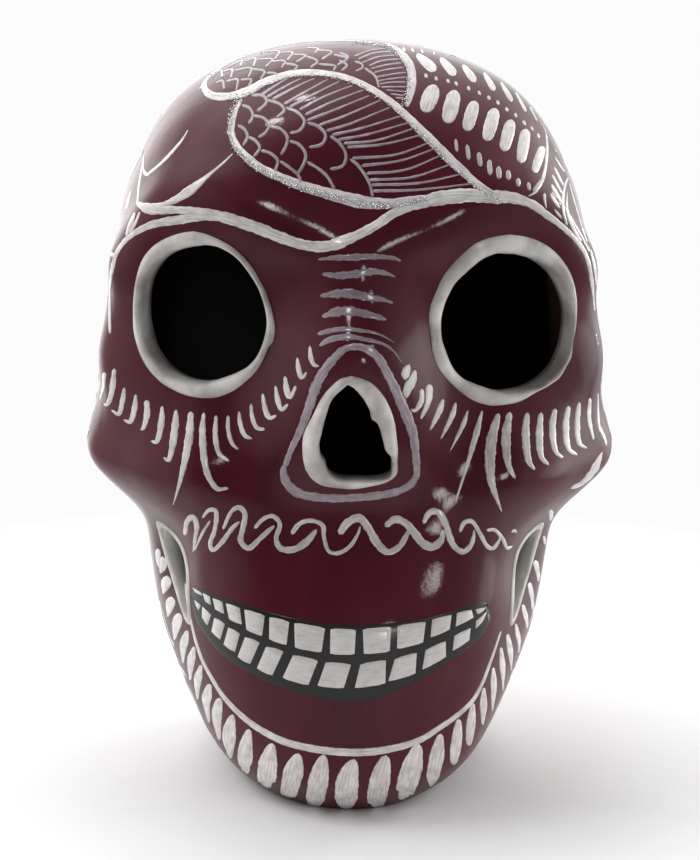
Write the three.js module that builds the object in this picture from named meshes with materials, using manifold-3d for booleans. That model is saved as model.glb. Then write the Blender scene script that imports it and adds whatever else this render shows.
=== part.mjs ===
// A hollow clay sugar skull, pressed in two halves and luted together at a seam.
// Millimetres, +Z up, the face toward -Y, the flat foot on Z = 0.
import * as THREE from 'three';
import Module from 'manifold-3d';

const wasm = await Module();
wasm.setup();

// Overall sizes
const HEIGHT = 180;
const HALF_WIDTH = 59.8;
const FACE_REACH = 60.5;
const BACK_REACH = 76;
const WALL = 5;
const CLEARANCE = 0.3;
const OVERRUN = 20;

// Each row is a share of the height and a share of the reach in that direction.
const FACE_SHARES = [
  [0, 0.76], [0.022, 0.843], [0.055, 0.926], [0.11, 0.975], [0.19, 1], [0.278, 0.992], [0.367, 0.942],
  [0.444, 0.893], [0.533, 0.884], [0.622, 0.909], [0.711, 0.967], [0.767, 0.992],
];
const SIDE_SHARES = [
  [0, 0.435], [0.017, 0.518], [0.05, 0.595], [0.1, 0.667], [0.15, 0.726], [0.2, 0.776], [0.25, 0.808],
  [0.3, 0.829], [0.356, 0.849], [0.411, 0.895], [0.478, 0.945], [0.544, 0.978], [0.61, 0.997], [0.66, 1],
];
const BACK_SHARES = [
  [0, 0.46], [0.033, 0.54], [0.089, 0.62], [0.189, 0.73], [0.333, 0.872], [0.472, 0.965], [0.6, 1],
];
// Above its last row each outline closes over the crown as a rounded dome of this power.
const FACE_DOME_POWER = 2.7;
const SIDE_DOME_POWER = 3;
const BACK_DOME_POWER = 2.8;
// How square the front of each section is: a share of the height and the power of its curve.
const FRONT_POWER = [[0, 2.15], [0.11, 2.1], [0.25, 2.2], [0.417, 2.5], [0.64, 2.7], [0.8, 2.3], [1, 2]];
const BACK_POWER = 2.1;

// How far each swelling or hollow of the face spreads, and how much it rises
const BROW_SPREAD = 9;
const BROW_RISE = 4.5;
const ORBIT_EDGE_SPREAD = 11;
const ORBIT_EDGE_RISE = 2;
const CHEEKBONE_SPREAD = 11;
const CHEEKBONE_RISE = 9.2;
const CHEEK_ARCH_SPREAD = 10;
const CHEEK_ARCH_RISE = 4;
const CHEEK_SIDE_SPREAD = 13;
const CHEEK_SIDE_RISE = 3;
const TEMPLE_SPREAD = 18;
const TEMPLE_RISE = -2;
const EYE_HOLLOW_SPREAD = 17;
const EYE_HOLLOW_RISE = -3;
const NOSE_BRIDGE_SPREAD = 9;
const NOSE_BRIDGE_RISE = 4;
const NOSE_SPREAD = 15;
const NOSE_RISE = 12;
const NOSE_FLANK_SPREAD = 11;
const NOSE_FLANK_RISE = 5;
const UPPER_JAW_SPREAD = 17;
const UPPER_JAW_RISE = 4;
const CHEEK_HOLLOW_SPREAD = 12;
const CHEEK_HOLLOW_RISE = -3;
const MOUTH_SPREAD = 16;
const MOUTH_RISE = 2;
const CROWN_SIDE_SPREAD = 20;
const CROWN_SIDE_RISE = -3;
const CHIN_SPREAD = 12;
const CHIN_RISE = 2;
// The relief is one surface across the middle plane, softened over this width
const MIDDLE_BLEND = 4;

// Where each of them lies: paths in shares of the half width, the face reach and the height. They
// are mirrored to the other side.
const RELIEF = [
  { spread: BROW_SPREAD, rise: BROW_RISE, pathShares: [
    [0, -0.99, 0.765], [0.234, -0.99, 0.785], [0.5, -0.9, 0.82], [0.736, -0.75, 0.8], [0.86, -0.62, 0.73]] },
  { spread: ORBIT_EDGE_SPREAD, rise: ORBIT_EDGE_RISE, pathShares: [[0.9, -0.5, 0.68], [0.936, -0.42, 0.61]] },
  { spread: CHEEKBONE_SPREAD, rise: CHEEKBONE_RISE, pathShares: [
    [0.6, -0.83, 0.464], [0.87, -0.63, 0.442], [1.02, -0.3, 0.438]] },
  { spread: CHEEK_ARCH_SPREAD, rise: CHEEK_ARCH_RISE, pathShares: [[1, -0.3, 0.45], [1, 0.165, 0.489]] },
  { spread: CHEEK_SIDE_SPREAD, rise: CHEEK_SIDE_RISE, pathShares: [
    [0.953, -0.43, 0.556], [1, -0.13, 0.544]] },
  { spread: TEMPLE_SPREAD, rise: TEMPLE_RISE, pathShares: [[0.97, -0.13, 0.667]] },
  { spread: EYE_HOLLOW_SPREAD, rise: EYE_HOLLOW_RISE, pathShares: [[0.518, -0.83, 0.64]] },
  { spread: NOSE_BRIDGE_SPREAD, rise: NOSE_BRIDGE_RISE, pathShares: [[0, -0.95, 0.74], [0, -0.95, 0.66]] },
  { spread: NOSE_SPREAD, rise: NOSE_RISE, pathShares: [[0, -0.95, 0.63], [0, -0.95, 0.52]] },
  { spread: NOSE_FLANK_SPREAD, rise: NOSE_FLANK_RISE, pathShares: [[0.1, -0.93, 0.6], [0.35, -0.88, 0.45]] },
  { spread: UPPER_JAW_SPREAD, rise: UPPER_JAW_RISE, pathShares: [[0, -1, 0.333], [0.334, -0.91, 0.322]] },
  { spread: CHEEK_HOLLOW_SPREAD, rise: CHEEK_HOLLOW_RISE, pathShares: [[0.7, -0.6, 0.333]] },
  { spread: MOUTH_SPREAD, rise: MOUTH_RISE, pathShares: [[0, -1, 0.244], [0.4, -0.83, 0.256]] },
  { spread: CROWN_SIDE_SPREAD, rise: CROWN_SIDE_RISE, pathShares: [[0.92, -0.2, 0.85], [0.92, 0.3, 0.85]] },
  { spread: CHIN_SPREAD, rise: CHIN_RISE, pathShares: [[0, -1, 0.078], [0.134, -1, 0.078]] },
];

// The openings' half sizes, and their rims' widths and heights over the skin
const EYE_HALF_WIDTH = 15.7;
const EYE_HALF_HEIGHT = 16.5;
const EYE_RIM_WIDTH = 3.2;
const EYE_RIM_STAND = 1.2;
const NOSE_HALF_WIDTH = 8.2;
const NOSE_HALF_HEIGHT = 11.2;
const NOSE_RIM_WIDTH = 2.6;
const NOSE_RIM_STAND = 1.2;
const SLOT_HALF_WIDTH = 3.7;
const SLOT_HALF_HEIGHT = 11.2;
const SLOT_RIM_WIDTH = 1.6;
const SLOT_RIM_STAND = 0.4;
const RIM_ROUNDING = 1.1;
const SLOT_RIM_ROUNDING = 0.7;

// Openings of the face. Each place is a share of the half width and of the height. The turn is the
// angle by which the opening looks aside, and it leans round that axis.
const EYE = {
  outline: roundOutline, placeShares: [0.56, 0.668], turn: 26, lean: 4,
  halfWidth: EYE_HALF_WIDTH, halfHeight: EYE_HALF_HEIGHT,
  rimWidth: EYE_RIM_WIDTH, rimStand: EYE_RIM_STAND, rimRounding: RIM_ROUNDING,
};
const NOSE = {
  outline: triangleOutline, placeShares: [0, 0.528], turn: 0, lean: 0,
  halfWidth: NOSE_HALF_WIDTH, halfHeight: NOSE_HALF_HEIGHT,
  rimWidth: NOSE_RIM_WIDTH, rimStand: NOSE_RIM_STAND, rimRounding: RIM_ROUNDING,
};
const JAW_SLOT = {
  outline: bladeOutline, placeShares: [0.678, 0.308], turn: 60, lean: -32,
  halfWidth: SLOT_HALF_WIDTH, halfHeight: SLOT_HALF_HEIGHT,
  rimWidth: SLOT_RIM_WIDTH, rimStand: SLOT_RIM_STAND, rimRounding: SLOT_RIM_ROUNDING,
};
// How far the nose opening is drawn out into three corners, and a jaw slot is narrowed downward
const TRIANGLE_SHARE = 0.115;
const TAPER_SHARE = 0.55;

// The opening in the foot, for the kiln's heat and a hand inside
const FOOT_THICKNESS = 5;
const NECK_HALF_WIDTH = 14;
const NECK_HALF_DEPTH = 26;
const NECK_SETBACK = -3;

// The seam between the two pressed halves stands upright, behind the cheek arches. The coil lies
// inside it, against the wall.
const SEAM_SETBACK = 6;
const COIL_HALF_WIDTH = 4;
const COIL_THICKNESS = 3;
const COIL_CLEARANCE = 0.8;
const COIL_ANGLE = 155;

// How finely the surfaces are divided
const OUTER_COLUMNS = 70;
const OUTER_ROWS = 36;
const OUTER_DOME_ROWS = 12;
const INNER_COLUMNS = 40;
const INNER_ROWS = 16;
const INNER_DOME_ROWS = 7;
const DOME_START_SHARE = 0.68;
const FRONT_CROWDING_SHARE = 0.3;
const RIM_STEPS = 34;
const RIM_SECTION_STEPS = 2;
const COIL_STEPS = 40;
const COIL_SECTION_STEPS = 6;
const SEARCH_STEPS = 40;
const PATH_STEPS = 12;

const MAROON_GLAZE = new THREE.MeshStandardMaterial({ color: 0x3a1620, roughness: 0.22, metalness: 0 });
const RIM_PAINT = new THREE.MeshStandardMaterial({ color: 0xb8aead, roughness: 0.4, metalness: 0 });
const BARE_CLAY = new THREE.MeshStandardMaterial({ color: 0x5a3a2e, roughness: 0.9, metalness: 0 });

// A smooth curve through rows of [place, value], held level beyond its ends
function curveThrough(rows, place) {
  const last = rows.length - 1;
  const at = Math.min(Math.max(place, rows[0][0]), rows[last][0]);
  let i = 0;
  while (i < last - 1 && at >= rows[i + 1][0]) i += 1;
  const slope = (k) => {
    const before = rows[Math.max(k - 1, 0)];
    const after = rows[Math.min(k + 1, last)];
    return (after[1] - before[1]) / (after[0] - before[0]);
  };
  const span = rows[i + 1][0] - rows[i][0];
  const t = (at - rows[i][0]) / span;
  const s = 1 - t;
  return s * s * (1 + 2 * t) * rows[i][1] + t * s * s * span * slope(i)
    + t * t * (1 + 2 * s) * rows[i + 1][1] - t * t * s * span * slope(i + 1);
}

// The reach of one outline at a height, closed over the crown as a dome
function reachAt(rows, power, size, z) {
  const start = rows[rows.length - 1][0];
  const t = Math.min(Math.max((z / HEIGHT - start) / (1 - start), 0), 1);
  return size * curveThrough(rows, z / HEIGHT) * Math.sqrt(1 - t ** power);
}

function distanceToPath(point, path) {
  let nearest = Infinity;
  for (let i = 0; i === 0 || i + 1 < path.length; i += 1) {
    const line = new THREE.Line3(path[i], path[Math.min(i + 1, path.length - 1)]);
    const foot = line.distance() > 0 ? line.closestPointToPoint(point, true, new THREE.Vector3()) : path[i];
    nearest = Math.min(nearest, foot.distanceTo(point));
  }
  return nearest;
}

// A path in millimetres. One with more than two points is rounded at its corners.
function pathPoints({ pathShares }) {
  const corners = pathShares.map(([x, y, z]) => (
    new THREE.Vector3(x * HALF_WIDTH, y * FACE_REACH, z * HEIGHT)));
  if (corners.length < 3) return corners;
  return new THREE.CatmullRomCurve3(corners, false, 'catmullrom').getPoints(PATH_STEPS);
}

const reliefPaths = RELIEF.map(pathPoints);

// The distance from the upright axis to the skin. The turn is 0 at the face and grows toward +X.
function skinRadius(turn, z) {
  const ahead = Math.cos(turn);
  const aside = Math.sin(turn);
  const isFront = ahead > 0;
  const power = isFront ? curveThrough(FRONT_POWER, z / HEIGHT) : BACK_POWER;
  const depth = isFront
    ? reachAt(FACE_SHARES, FACE_DOME_POWER, FACE_REACH, z)
    : reachAt(BACK_SHARES, BACK_DOME_POWER, BACK_REACH, z);
  const width = reachAt(SIDE_SHARES, SIDE_DOME_POWER, HALF_WIDTH, z);
  const radius = (Math.abs(aside / width) ** power + Math.abs(ahead / depth) ** power) ** (-1 / power);
  const point = new THREE.Vector3(Math.hypot(radius * aside, MIDDLE_BLEND), -radius * ahead, z);
  const swell = RELIEF.map(({ spread, rise }, i) => {
    const away = distanceToPath(point, reliefPaths[i]) / spread;
    return rise * Math.exp(-(away ** 2));
  });
  return swell.reduce((sum, part) => sum + part, radius);
}

function skinPoint(turn, z) {
  const radius = skinRadius(turn, z);
  return new THREE.Vector3(radius * Math.sin(turn), -radius * Math.cos(turn), z);
}

// How far from a start inside the skull a straight line meets the skin
function reachToSkin(start, direction, furthest) {
  let inside = 0;
  let outside = furthest;
  for (let i = 0; i < SEARCH_STEPS; i += 1) {
    const middle = (inside + outside) / 2;
    const point = start.clone().addScaledVector(direction, middle);
    const isIn = point.z > 0 && point.z < HEIGHT
      && Math.hypot(point.x, point.y) < skinRadius(Math.atan2(point.x, -point.y), point.z);
    if (isIn) inside = middle;
    else outside = middle;
  }
  return inside;
}

function manifoldOf(points, triangles) {
  const mesh = new wasm.Mesh({
    numProp: 3,
    vertProperties: Float32Array.from(points.flatMap((point) => point.toArray())),
    triVerts: Uint32Array.from(triangles.flat()),
  });
  return new wasm.Manifold(mesh);
}

// A closed solid from rings that run counterclockwise seen from their last end
function solidOfRings(rings, firstCentre, lastCentre) {
  const count = rings[0].length;
  const triangles = [];
  for (let j = 0; j < count; j += 1) {
    const next = (j + 1) % count;
    for (let i = 0; i + 1 < rings.length; i += 1) {
      const [a, b, c, d] = [i * count + j, i * count + next, (i + 1) * count + next, (i + 1) * count + j];
      triangles.push([a, b, c], [a, c, d]);
    }
    const lastRow = (rings.length - 1) * count;
    triangles.push([next, j, rings.length * count], [lastRow + j, lastRow + next, rings.length * count + 1]);
  }
  return manifoldOf([...rings.flat(), firstCentre, lastCentre], triangles);
}

// Rings of skin points from the foot to just below the crown
function skinRings(columns, rows, domeRows) {
  const domeStart = DOME_START_SHARE * HEIGHT;
  const low = Array.from({ length: rows }, (_, i) => domeStart * (i / rows));
  const dome = Array.from({ length: domeRows }, (_, i) => (
    domeStart + (HEIGHT - domeStart) * Math.sin((Math.PI / 2) * (i / domeRows))));
  const turns = Array.from({ length: columns }, (_, j) => {
    const even = 2 * Math.PI * (j / columns);
    return even - FRONT_CROWDING_SHARE * Math.sin(even);
  });
  return [...low, ...dome].map((z) => turns.map((turn) => skinPoint(turn, z)));
}

// The same rings moved inward by a wall, square to the skin
function insetRings(rings, crown, wall) {
  const count = rings[0].length;
  return rings.map((ring, i) => ring.map((point, j) => {
    const above = i + 1 < rings.length ? rings[i + 1][j] : crown;
    const below = i > 0 ? rings[i - 1][j] : point;
    const along = ring[(j + 1) % count].clone().sub(ring[(j + count - 1) % count]);
    const outward = along.cross(above.clone().sub(below)).normalize();
    return point.clone().addScaledVector(outward, -wall);
  }));
}

// Outlines of the openings as unit curves. The angle runs once round from 0 to a full turn.
function roundOutline(angle) {
  return new THREE.Vector2(Math.cos(angle), Math.sin(angle));
}

// A tall triangle with rounded corners and its point at the top
function triangleOutline(angle) {
  const reach = 1 + TRIANGLE_SHARE * Math.cos(3 * (angle - Math.PI / 2));
  const swing = -3 * TRIANGLE_SHARE * Math.sin(3 * (angle - Math.PI / 2));
  return new THREE.Vector2(
    reach * Math.cos(angle) - swing * Math.sin(angle), reach * Math.sin(angle) + swing * Math.cos(angle));
}

// A blade that is full at the top and narrow at the bottom
function bladeOutline(angle) {
  return new THREE.Vector2(Math.cos(angle) * (1 + TAPER_SHARE * Math.sin(angle)), Math.sin(angle));
}

// An opening in place: its centre on the skin, the way it looks, and what is across and up in it
function openingFrame(opening, side) {
  const [aside, up] = opening.placeShares;
  const turn = THREE.MathUtils.degToRad(opening.turn) * side;
  const axis = new THREE.Vector3(Math.sin(turn), -Math.cos(turn), 0);
  const lean = THREE.MathUtils.degToRad(opening.lean) * side;
  const across = new THREE.Vector3(Math.cos(turn), Math.sin(turn), 0).applyAxisAngle(axis, lean);
  const centre = new THREE.Vector3(aside * HALF_WIDTH * side, 0, up * HEIGHT);
  centre.y = -reachToSkin(centre, new THREE.Vector3(0, -1, 0), FACE_REACH + OVERRUN);
  return { axis, across, centre, rise: axis.clone().cross(across) };
}

// A point of the outline, moved outward by an offset
function outlinePoint(opening, step, offset) {
  const sized = (angle) => opening.outline(angle).multiply(
    new THREE.Vector2(opening.halfWidth, opening.halfHeight));
  const angle = 2 * Math.PI * (step / RIM_STEPS);
  const nudge = Math.PI / RIM_STEPS;
  const along = sized(angle + nudge).sub(sized(angle - nudge)).normalize();
  return sized(angle).addScaledVector(new THREE.Vector2(along.y, -along.x), offset);
}

function placeInFrame(frame, flat, stand) {
  return frame.centre.clone()
    .addScaledVector(frame.across, flat.x)
    .addScaledVector(frame.rise, flat.y)
    .addScaledVector(frame.axis, stand);
}

// The solid that clears an opening through the wall, a clearance wider than its rim
function openingCutter(opening, side) {
  const frame = openingFrame(opening, side);
  const ringAt = (stand) => Array.from({ length: RIM_STEPS }, (_, step) => (
    placeInFrame(frame, outlinePoint(opening, step, opening.rimWidth + CLEARANCE), stand)));
  const middle = new THREE.Vector2();
  return solidOfRings([ringAt(-OVERRUN), ringAt(OVERRUN)],
    placeInFrame(frame, middle, -OVERRUN), placeInFrame(frame, middle, OVERRUN));
}

// A rim's section as [distance out from the hole, height over the skin]
function rimSection({ rimWidth, rimStand, rimRounding }) {
  const shoulder = rimStand - rimRounding;
  const corner = (centre, from) => Array.from({ length: RIM_SECTION_STEPS + 1 }, (_, i) => {
    const angle = from + (Math.PI / 2) * (i / RIM_SECTION_STEPS);
    return [centre + rimRounding * Math.cos(angle), shoulder + rimRounding * Math.sin(angle)];
  });
  return [
    [rimWidth, -WALL],
    ...corner(rimWidth - rimRounding, 0),
    ...corner(rimRounding, Math.PI / 2),
    [0, -WALL],
  ];
}

// A rounded clay rim that lines an opening and follows the skin around it
function rimGeometry(opening, side) {
  const frame = openingFrame(opening, side);
  const section = rimSection(opening);
  const points = [];
  for (let step = 0; step < RIM_STEPS; step += 1) {
    section.forEach(([out, stand]) => {
      const flat = outlinePoint(opening, step, out);
      const start = placeInFrame(frame, flat, -OVERRUN);
      const skin = reachToSkin(start, frame.axis, 2 * OVERRUN) - OVERRUN;
      points.push(placeInFrame(frame, flat, skin + stand));
    });
  }
  return ringGeometry(points, section.length, true);
}

// A surface over points laid out as sections one after another, closed round or capped at its ends
function ringGeometry(points, width, isRound) {
  const count = points.length / width;
  const triangles = [];
  for (let i = 0; i < (isRound ? count : count - 1); i += 1) {
    const here = i * width;
    const there = ((i + 1) % count) * width;
    for (let j = 0; j < width; j += 1) {
      const next = (j + 1) % width;
      triangles.push(here + j, there + j, there + next, here + j, there + next, here + next);
    }
  }
  const lastRow = (count - 1) * width;
  for (let j = 1; !isRound && j + 1 < width; j += 1) {
    triangles.push(0, j, j + 1, lastRow, lastRow + j + 1, lastRow + j);
  }
  const geometry = new THREE.BufferGeometry().setFromPoints(points);
  geometry.setIndex(triangles);
  geometry.computeVertexNormals();
  return geometry;
}

// The hollow skull with its openings, before it is parted at the seam
function hollowSkull() {
  const crown = new THREE.Vector3(0, 0, HEIGHT);
  const footCentre = new THREE.Vector3();
  const outerRings = skinRings(OUTER_COLUMNS, OUTER_ROWS, OUTER_DOME_ROWS);
  const outer = solidOfRings(outerRings, footCentre, crown);
  const innerRings = insetRings(skinRings(INNER_COLUMNS, INNER_ROWS, INNER_DOME_ROWS), crown, WALL);
  const innerCrown = new THREE.Vector3(0, 0, HEIGHT - WALL);
  const hollow = solidOfRings(innerRings, footCentre, innerCrown)
    .intersect(block(-BACK_REACH - OVERRUN, BACK_REACH + OVERRUN, FOOT_THICKNESS, HEIGHT));
  const openings = [
    openingCutter(EYE, -1), openingCutter(EYE, 1), openingCutter(NOSE, 1),
    openingCutter(JAW_SLOT, -1), openingCutter(JAW_SLOT, 1), neckCutter(),
  ];
  return openings.reduce((skull, cutter) => skull.subtract(cutter), outer.subtract(hollow));
}

function neckCutter() {
  const ringAt = (z) => Array.from({ length: RIM_STEPS }, (_, step) => {
    const angle = 2 * Math.PI * (step / RIM_STEPS);
    return new THREE.Vector3(
      NECK_HALF_WIDTH * Math.cos(angle), NECK_SETBACK + NECK_HALF_DEPTH * Math.sin(angle), z);
  });
  return solidOfRings([ringAt(-OVERRUN), ringAt(OVERRUN)],
    new THREE.Vector3(0, NECK_SETBACK, -OVERRUN), new THREE.Vector3(0, NECK_SETBACK, OVERRUN));
}

// A block as wide as the skull and more, between two depths and two heights
function block(front, back, low, high) {
  const reach = HALF_WIDTH + OVERRUN;
  const corners = [[-reach, front], [reach, front], [reach, back], [-reach, back]];
  const middle = (front + back) / 2;
  const ringAt = (z) => corners.map(([x, y]) => new THREE.Vector3(x, y, z));
  return solidOfRings([ringAt(low), ringAt(high)],
    new THREE.Vector3(0, middle, low), new THREE.Vector3(0, middle, high));
}

function geometryOf(manifold) {
  const { vertProperties, triVerts, numProp } = manifold.getMesh();
  const geometry = new THREE.BufferGeometry();
  geometry.setAttribute('position', new THREE.BufferAttribute(Float32Array.from(vertProperties), numProp));
  geometry.setIndex(new THREE.BufferAttribute(Uint32Array.from(triVerts), 1));
  geometry.computeVertexNormals();
  return geometry;
}

// The luting coil: a half round strip of clay that follows the inside of the wall at the seam
function coilGeometry() {
  const centre = new THREE.Vector3(0, SEAM_SETBACK, HEIGHT / 2);
  const wallPoint = (angle, setback) => {
    const start = centre.clone().setY(SEAM_SETBACK + setback);
    const direction = new THREE.Vector3(Math.sin(angle), 0, Math.cos(angle));
    return start.clone().addScaledVector(direction, reachToSkin(start, direction, HEIGHT));
  };
  const reach = THREE.MathUtils.degToRad(COIL_ANGLE);
  const nudge = reach / COIL_STEPS;
  const points = [];
  for (let step = 0; step <= COIL_STEPS; step += 1) {
    const angle = reach * (2 * (step / COIL_STEPS) - 1);
    for (let k = 0; k <= COIL_SECTION_STEPS; k += 1) {
      const swing = Math.PI * (k / COIL_SECTION_STEPS);
      const setback = COIL_HALF_WIDTH * Math.cos(swing);
      const along = wallPoint(angle + nudge, setback).sub(wallPoint(angle - nudge, setback));
      const outward = new THREE.Vector3(-along.z, 0, along.x).normalize();
      const depth = WALL + COIL_CLEARANCE + COIL_THICKNESS * Math.sin(swing);
      points.push(wallPoint(angle, setback).addScaledVector(outward, -depth));
    }
  }
  return ringGeometry(points, COIL_SECTION_STEPS + 1, false);
}

const skull = hollowSkull();
const faceHalf = block(-FACE_REACH - OVERRUN, SEAM_SETBACK, -OVERRUN, HEIGHT + OVERRUN);
const backHalf = block(SEAM_SETBACK, BACK_REACH + OVERRUN, -OVERRUN, HEIGHT + OVERRUN);

const sugarSkull = new THREE.Group();
sugarSkull.name = 'sugar_skull';

function addPiece(name, geometry, material) {
  const piece = new THREE.Mesh(geometry, material);
  piece.name = name;
  sugarSkull.add(piece);
}

addPiece('face_shell', geometryOf(skull.intersect(faceHalf)), MAROON_GLAZE);
addPiece('cranium_shell', geometryOf(skull.intersect(backHalf)), MAROON_GLAZE);
addPiece('seam_coil', coilGeometry(), BARE_CLAY);
addPiece('nose_rim', rimGeometry(NOSE, 1), RIM_PAINT);
for (const [name, side] of [['left', -1], ['right', 1]]) {
  addPiece(`${name}_eye_rim`, rimGeometry(EYE, side), RIM_PAINT);
  addPiece(`${name}_jaw_slot_rim`, rimGeometry(JAW_SLOT, side), RIM_PAINT);
}

// The part's origin is the middle of its foot.
const middle = new THREE.Box3().setFromObject(sugarSkull).getCenter(new THREE.Vector3());
sugarSkull.position.y = -middle.y;

export default sugarSkull;
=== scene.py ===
import math
import random

import bmesh
import bpy
import numpy as np
from mathutils import Matrix, Quaternion, Vector
from mathutils.bvhtree import BVHTree


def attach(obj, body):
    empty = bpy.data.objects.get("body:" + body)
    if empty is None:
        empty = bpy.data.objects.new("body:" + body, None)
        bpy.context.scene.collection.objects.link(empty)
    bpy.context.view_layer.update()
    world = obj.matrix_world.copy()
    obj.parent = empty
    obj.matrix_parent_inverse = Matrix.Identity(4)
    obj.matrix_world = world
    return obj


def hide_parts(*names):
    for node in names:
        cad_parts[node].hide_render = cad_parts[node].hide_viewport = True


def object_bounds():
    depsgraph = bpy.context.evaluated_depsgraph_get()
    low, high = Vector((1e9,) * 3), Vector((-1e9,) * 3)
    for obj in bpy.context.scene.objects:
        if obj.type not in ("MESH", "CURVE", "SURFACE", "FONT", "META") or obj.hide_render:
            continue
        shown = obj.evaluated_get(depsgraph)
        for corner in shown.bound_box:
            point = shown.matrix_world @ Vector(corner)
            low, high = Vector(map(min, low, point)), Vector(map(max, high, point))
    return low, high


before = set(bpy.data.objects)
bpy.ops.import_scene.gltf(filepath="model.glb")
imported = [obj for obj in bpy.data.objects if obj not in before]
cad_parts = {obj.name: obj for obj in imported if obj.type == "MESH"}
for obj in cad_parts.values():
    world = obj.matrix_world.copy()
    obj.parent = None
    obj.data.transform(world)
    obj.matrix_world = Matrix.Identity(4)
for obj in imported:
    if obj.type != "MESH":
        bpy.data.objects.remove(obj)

# Lengths are in millimetres until a mesh is made.
MM = 0.001

cad_low, cad_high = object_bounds()

# The clay form, with the same sizes as the solids
HEIGHT = 180
HALF_WIDTH = 59.8
FACE_REACH = 60.5
BACK_REACH = 76
WALL = 5
CLEARANCE = 0.3
OVERRUN = 20
FOOT_THICKNESS = 5
SEAM_SETBACK = 6
NECK_HALF_WIDTH = 14
NECK_HALF_DEPTH = 26
NECK_SETBACK = -3

FACE_SHARES = [
    [0, 0.76], [0.022, 0.843], [0.055, 0.926], [0.11, 0.975], [0.19, 1], [0.278, 0.992], [0.367, 0.942],
    [0.444, 0.893], [0.533, 0.884], [0.622, 0.909], [0.711, 0.967], [0.767, 0.992],
]
SIDE_SHARES = [
    [0, 0.435], [0.017, 0.518], [0.05, 0.595], [0.1, 0.667], [0.15, 0.726], [0.2, 0.776], [0.25, 0.808],
    [0.3, 0.829], [0.356, 0.849], [0.411, 0.895], [0.478, 0.945], [0.544, 0.978], [0.61, 0.997], [0.66, 1],
]
BACK_SHARES = [
    [0, 0.46], [0.033, 0.54], [0.089, 0.62], [0.189, 0.73], [0.333, 0.872], [0.472, 0.965], [0.6, 1],
]
FACE_DOME_POWER = 2.7
SIDE_DOME_POWER = 3
BACK_DOME_POWER = 2.8
FRONT_POWER = [[0, 2.15], [0.11, 2.1], [0.25, 2.2], [0.417, 2.5], [0.64, 2.7], [0.8, 2.3], [1, 2]]
BACK_POWER = 2.1
MIDDLE_BLEND = 4
# Each swelling: its spread, its rise and its path in shares of the three sizes
RELIEF = [
    # Brow
    (9, 4.5, [[0, -0.99, 0.765], [0.234, -0.99, 0.785], [0.5, -0.9, 0.82], [0.736, -0.75, 0.8],
              [0.86, -0.62, 0.73]]),
    # Outer edge of the eye hollow
    (11, 2, [[0.9, -0.5, 0.68], [0.936, -0.42, 0.61]]),
    # Cheekbone, the arch behind it and the side over it
    (11, 9.2, [[0.6, -0.83, 0.464], [0.87, -0.63, 0.442], [1.02, -0.3, 0.438]]),
    (10, 4, [[1, -0.3, 0.45], [1, 0.165, 0.489]]),
    (13, 3, [[0.953, -0.43, 0.556], [1, -0.13, 0.544]]),
    # Temple and eye hollow
    (18, -2, [[0.97, -0.13, 0.667]]),
    (17, -3, [[0.518, -0.83, 0.64]]),
    # Nose: bridge, body and flank
    (9, 4, [[0, -0.95, 0.74], [0, -0.95, 0.66]]),
    (15, 12, [[0, -0.95, 0.63], [0, -0.95, 0.52]]),
    (11, 5, [[0.1, -0.93, 0.6], [0.35, -0.88, 0.45]]),
    # Upper jaw, the hollow of the cheek and the mouth
    (17, 4, [[0, -1, 0.333], [0.334, -0.91, 0.322]]),
    (12, -3, [[0.7, -0.6, 0.333]]),
    (16, 2, [[0, -1, 0.244], [0.4, -0.83, 0.256]]),
    # Side of the crown
    (20, -3, [[0.92, -0.2, 0.85], [0.92, 0.3, 0.85]]),
    # Chin
    (12, 2, [[0, -1, 0.078], [0.134, -1, 0.078]]),
]
DOME_START_SHARE = 0.68
PATH_STEPS = 12
HALVINGS = 30

# Openings: outline, place in shares, turn, lean, half width, half height, rim width and rim stand
EYE = dict(outline="round", place=(0.56, 0.668), turn=26, lean=4,
           half=(15.7, 16.5), rim=3.2, stand=1.2)
NOSE = dict(outline="triangle", place=(0, 0.528), turn=0, lean=0,
            half=(8.2, 11.2), rim=2.6, stand=1.2)
JAW_SLOT = dict(outline="blade", place=(0.678, 0.308), turn=60, lean=-32,
                half=(3.7, 11.2), rim=1.6, stand=0.4)
TRIANGLE_SHARE = 0.115
TAPER_SHARE = 0.55

# The depth of the upright axis in the frame, from the back of the solids
AXIS_DEPTH = cad_high.y / MM - BACK_REACH

# The camera, from the photograph's outline
CAMERA_AZIMUTH = -1.4
CAMERA_ELEVATION = 12
CAMERA_ROLL = 0.6
CAMERA_DISTANCE = 600
CAMERA_LENS = 100
SENSOR = 36
CAMERA_TARGET = (0.4, 0, 83)
PHOTO_WIDTH = 700
PHOTO_HEIGHT = 860

# How finely the skin is divided
SKIN_COLUMNS = 240
SKIN_ROWS = 128
SKIN_DOME_ROWS = 42
INNER_COLUMNS = 72
INNER_ROWS = 34
INNER_DOME_ROWS = 12
RIM_STEPS = 144


# The skin

def curve_through(rows, place):
    """A smooth curve through rows of [place, value], held level beyond its ends."""
    at = np.array([row[0] for row in rows], float)
    value = np.array([row[1] for row in rows], float)
    last = len(rows) - 1
    before = np.maximum(np.arange(last + 1) - 1, 0)
    after = np.minimum(np.arange(last + 1) + 1, last)
    slope = (value[after] - value[before]) / (at[after] - at[before])
    place = np.clip(place, at[0], at[-1])
    i = np.clip(np.searchsorted(at, place, side="right") - 1, 0, last - 1)
    span = at[i + 1] - at[i]
    t = (place - at[i]) / span
    s = 1 - t
    return (s * s * (1 + 2 * t) * value[i] + t * s * s * span * slope[i]
            + t * t * (1 + 2 * s) * value[i + 1] - t * t * s * span * slope[i + 1])


def reach_at(rows, power, size, z):
    start = rows[-1][0]
    t = np.clip((z / HEIGHT - start) / (1 - start), 0, 1)
    return size * curve_through(rows, z / HEIGHT) * np.sqrt(np.maximum(1 - t ** power, 0))


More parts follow.
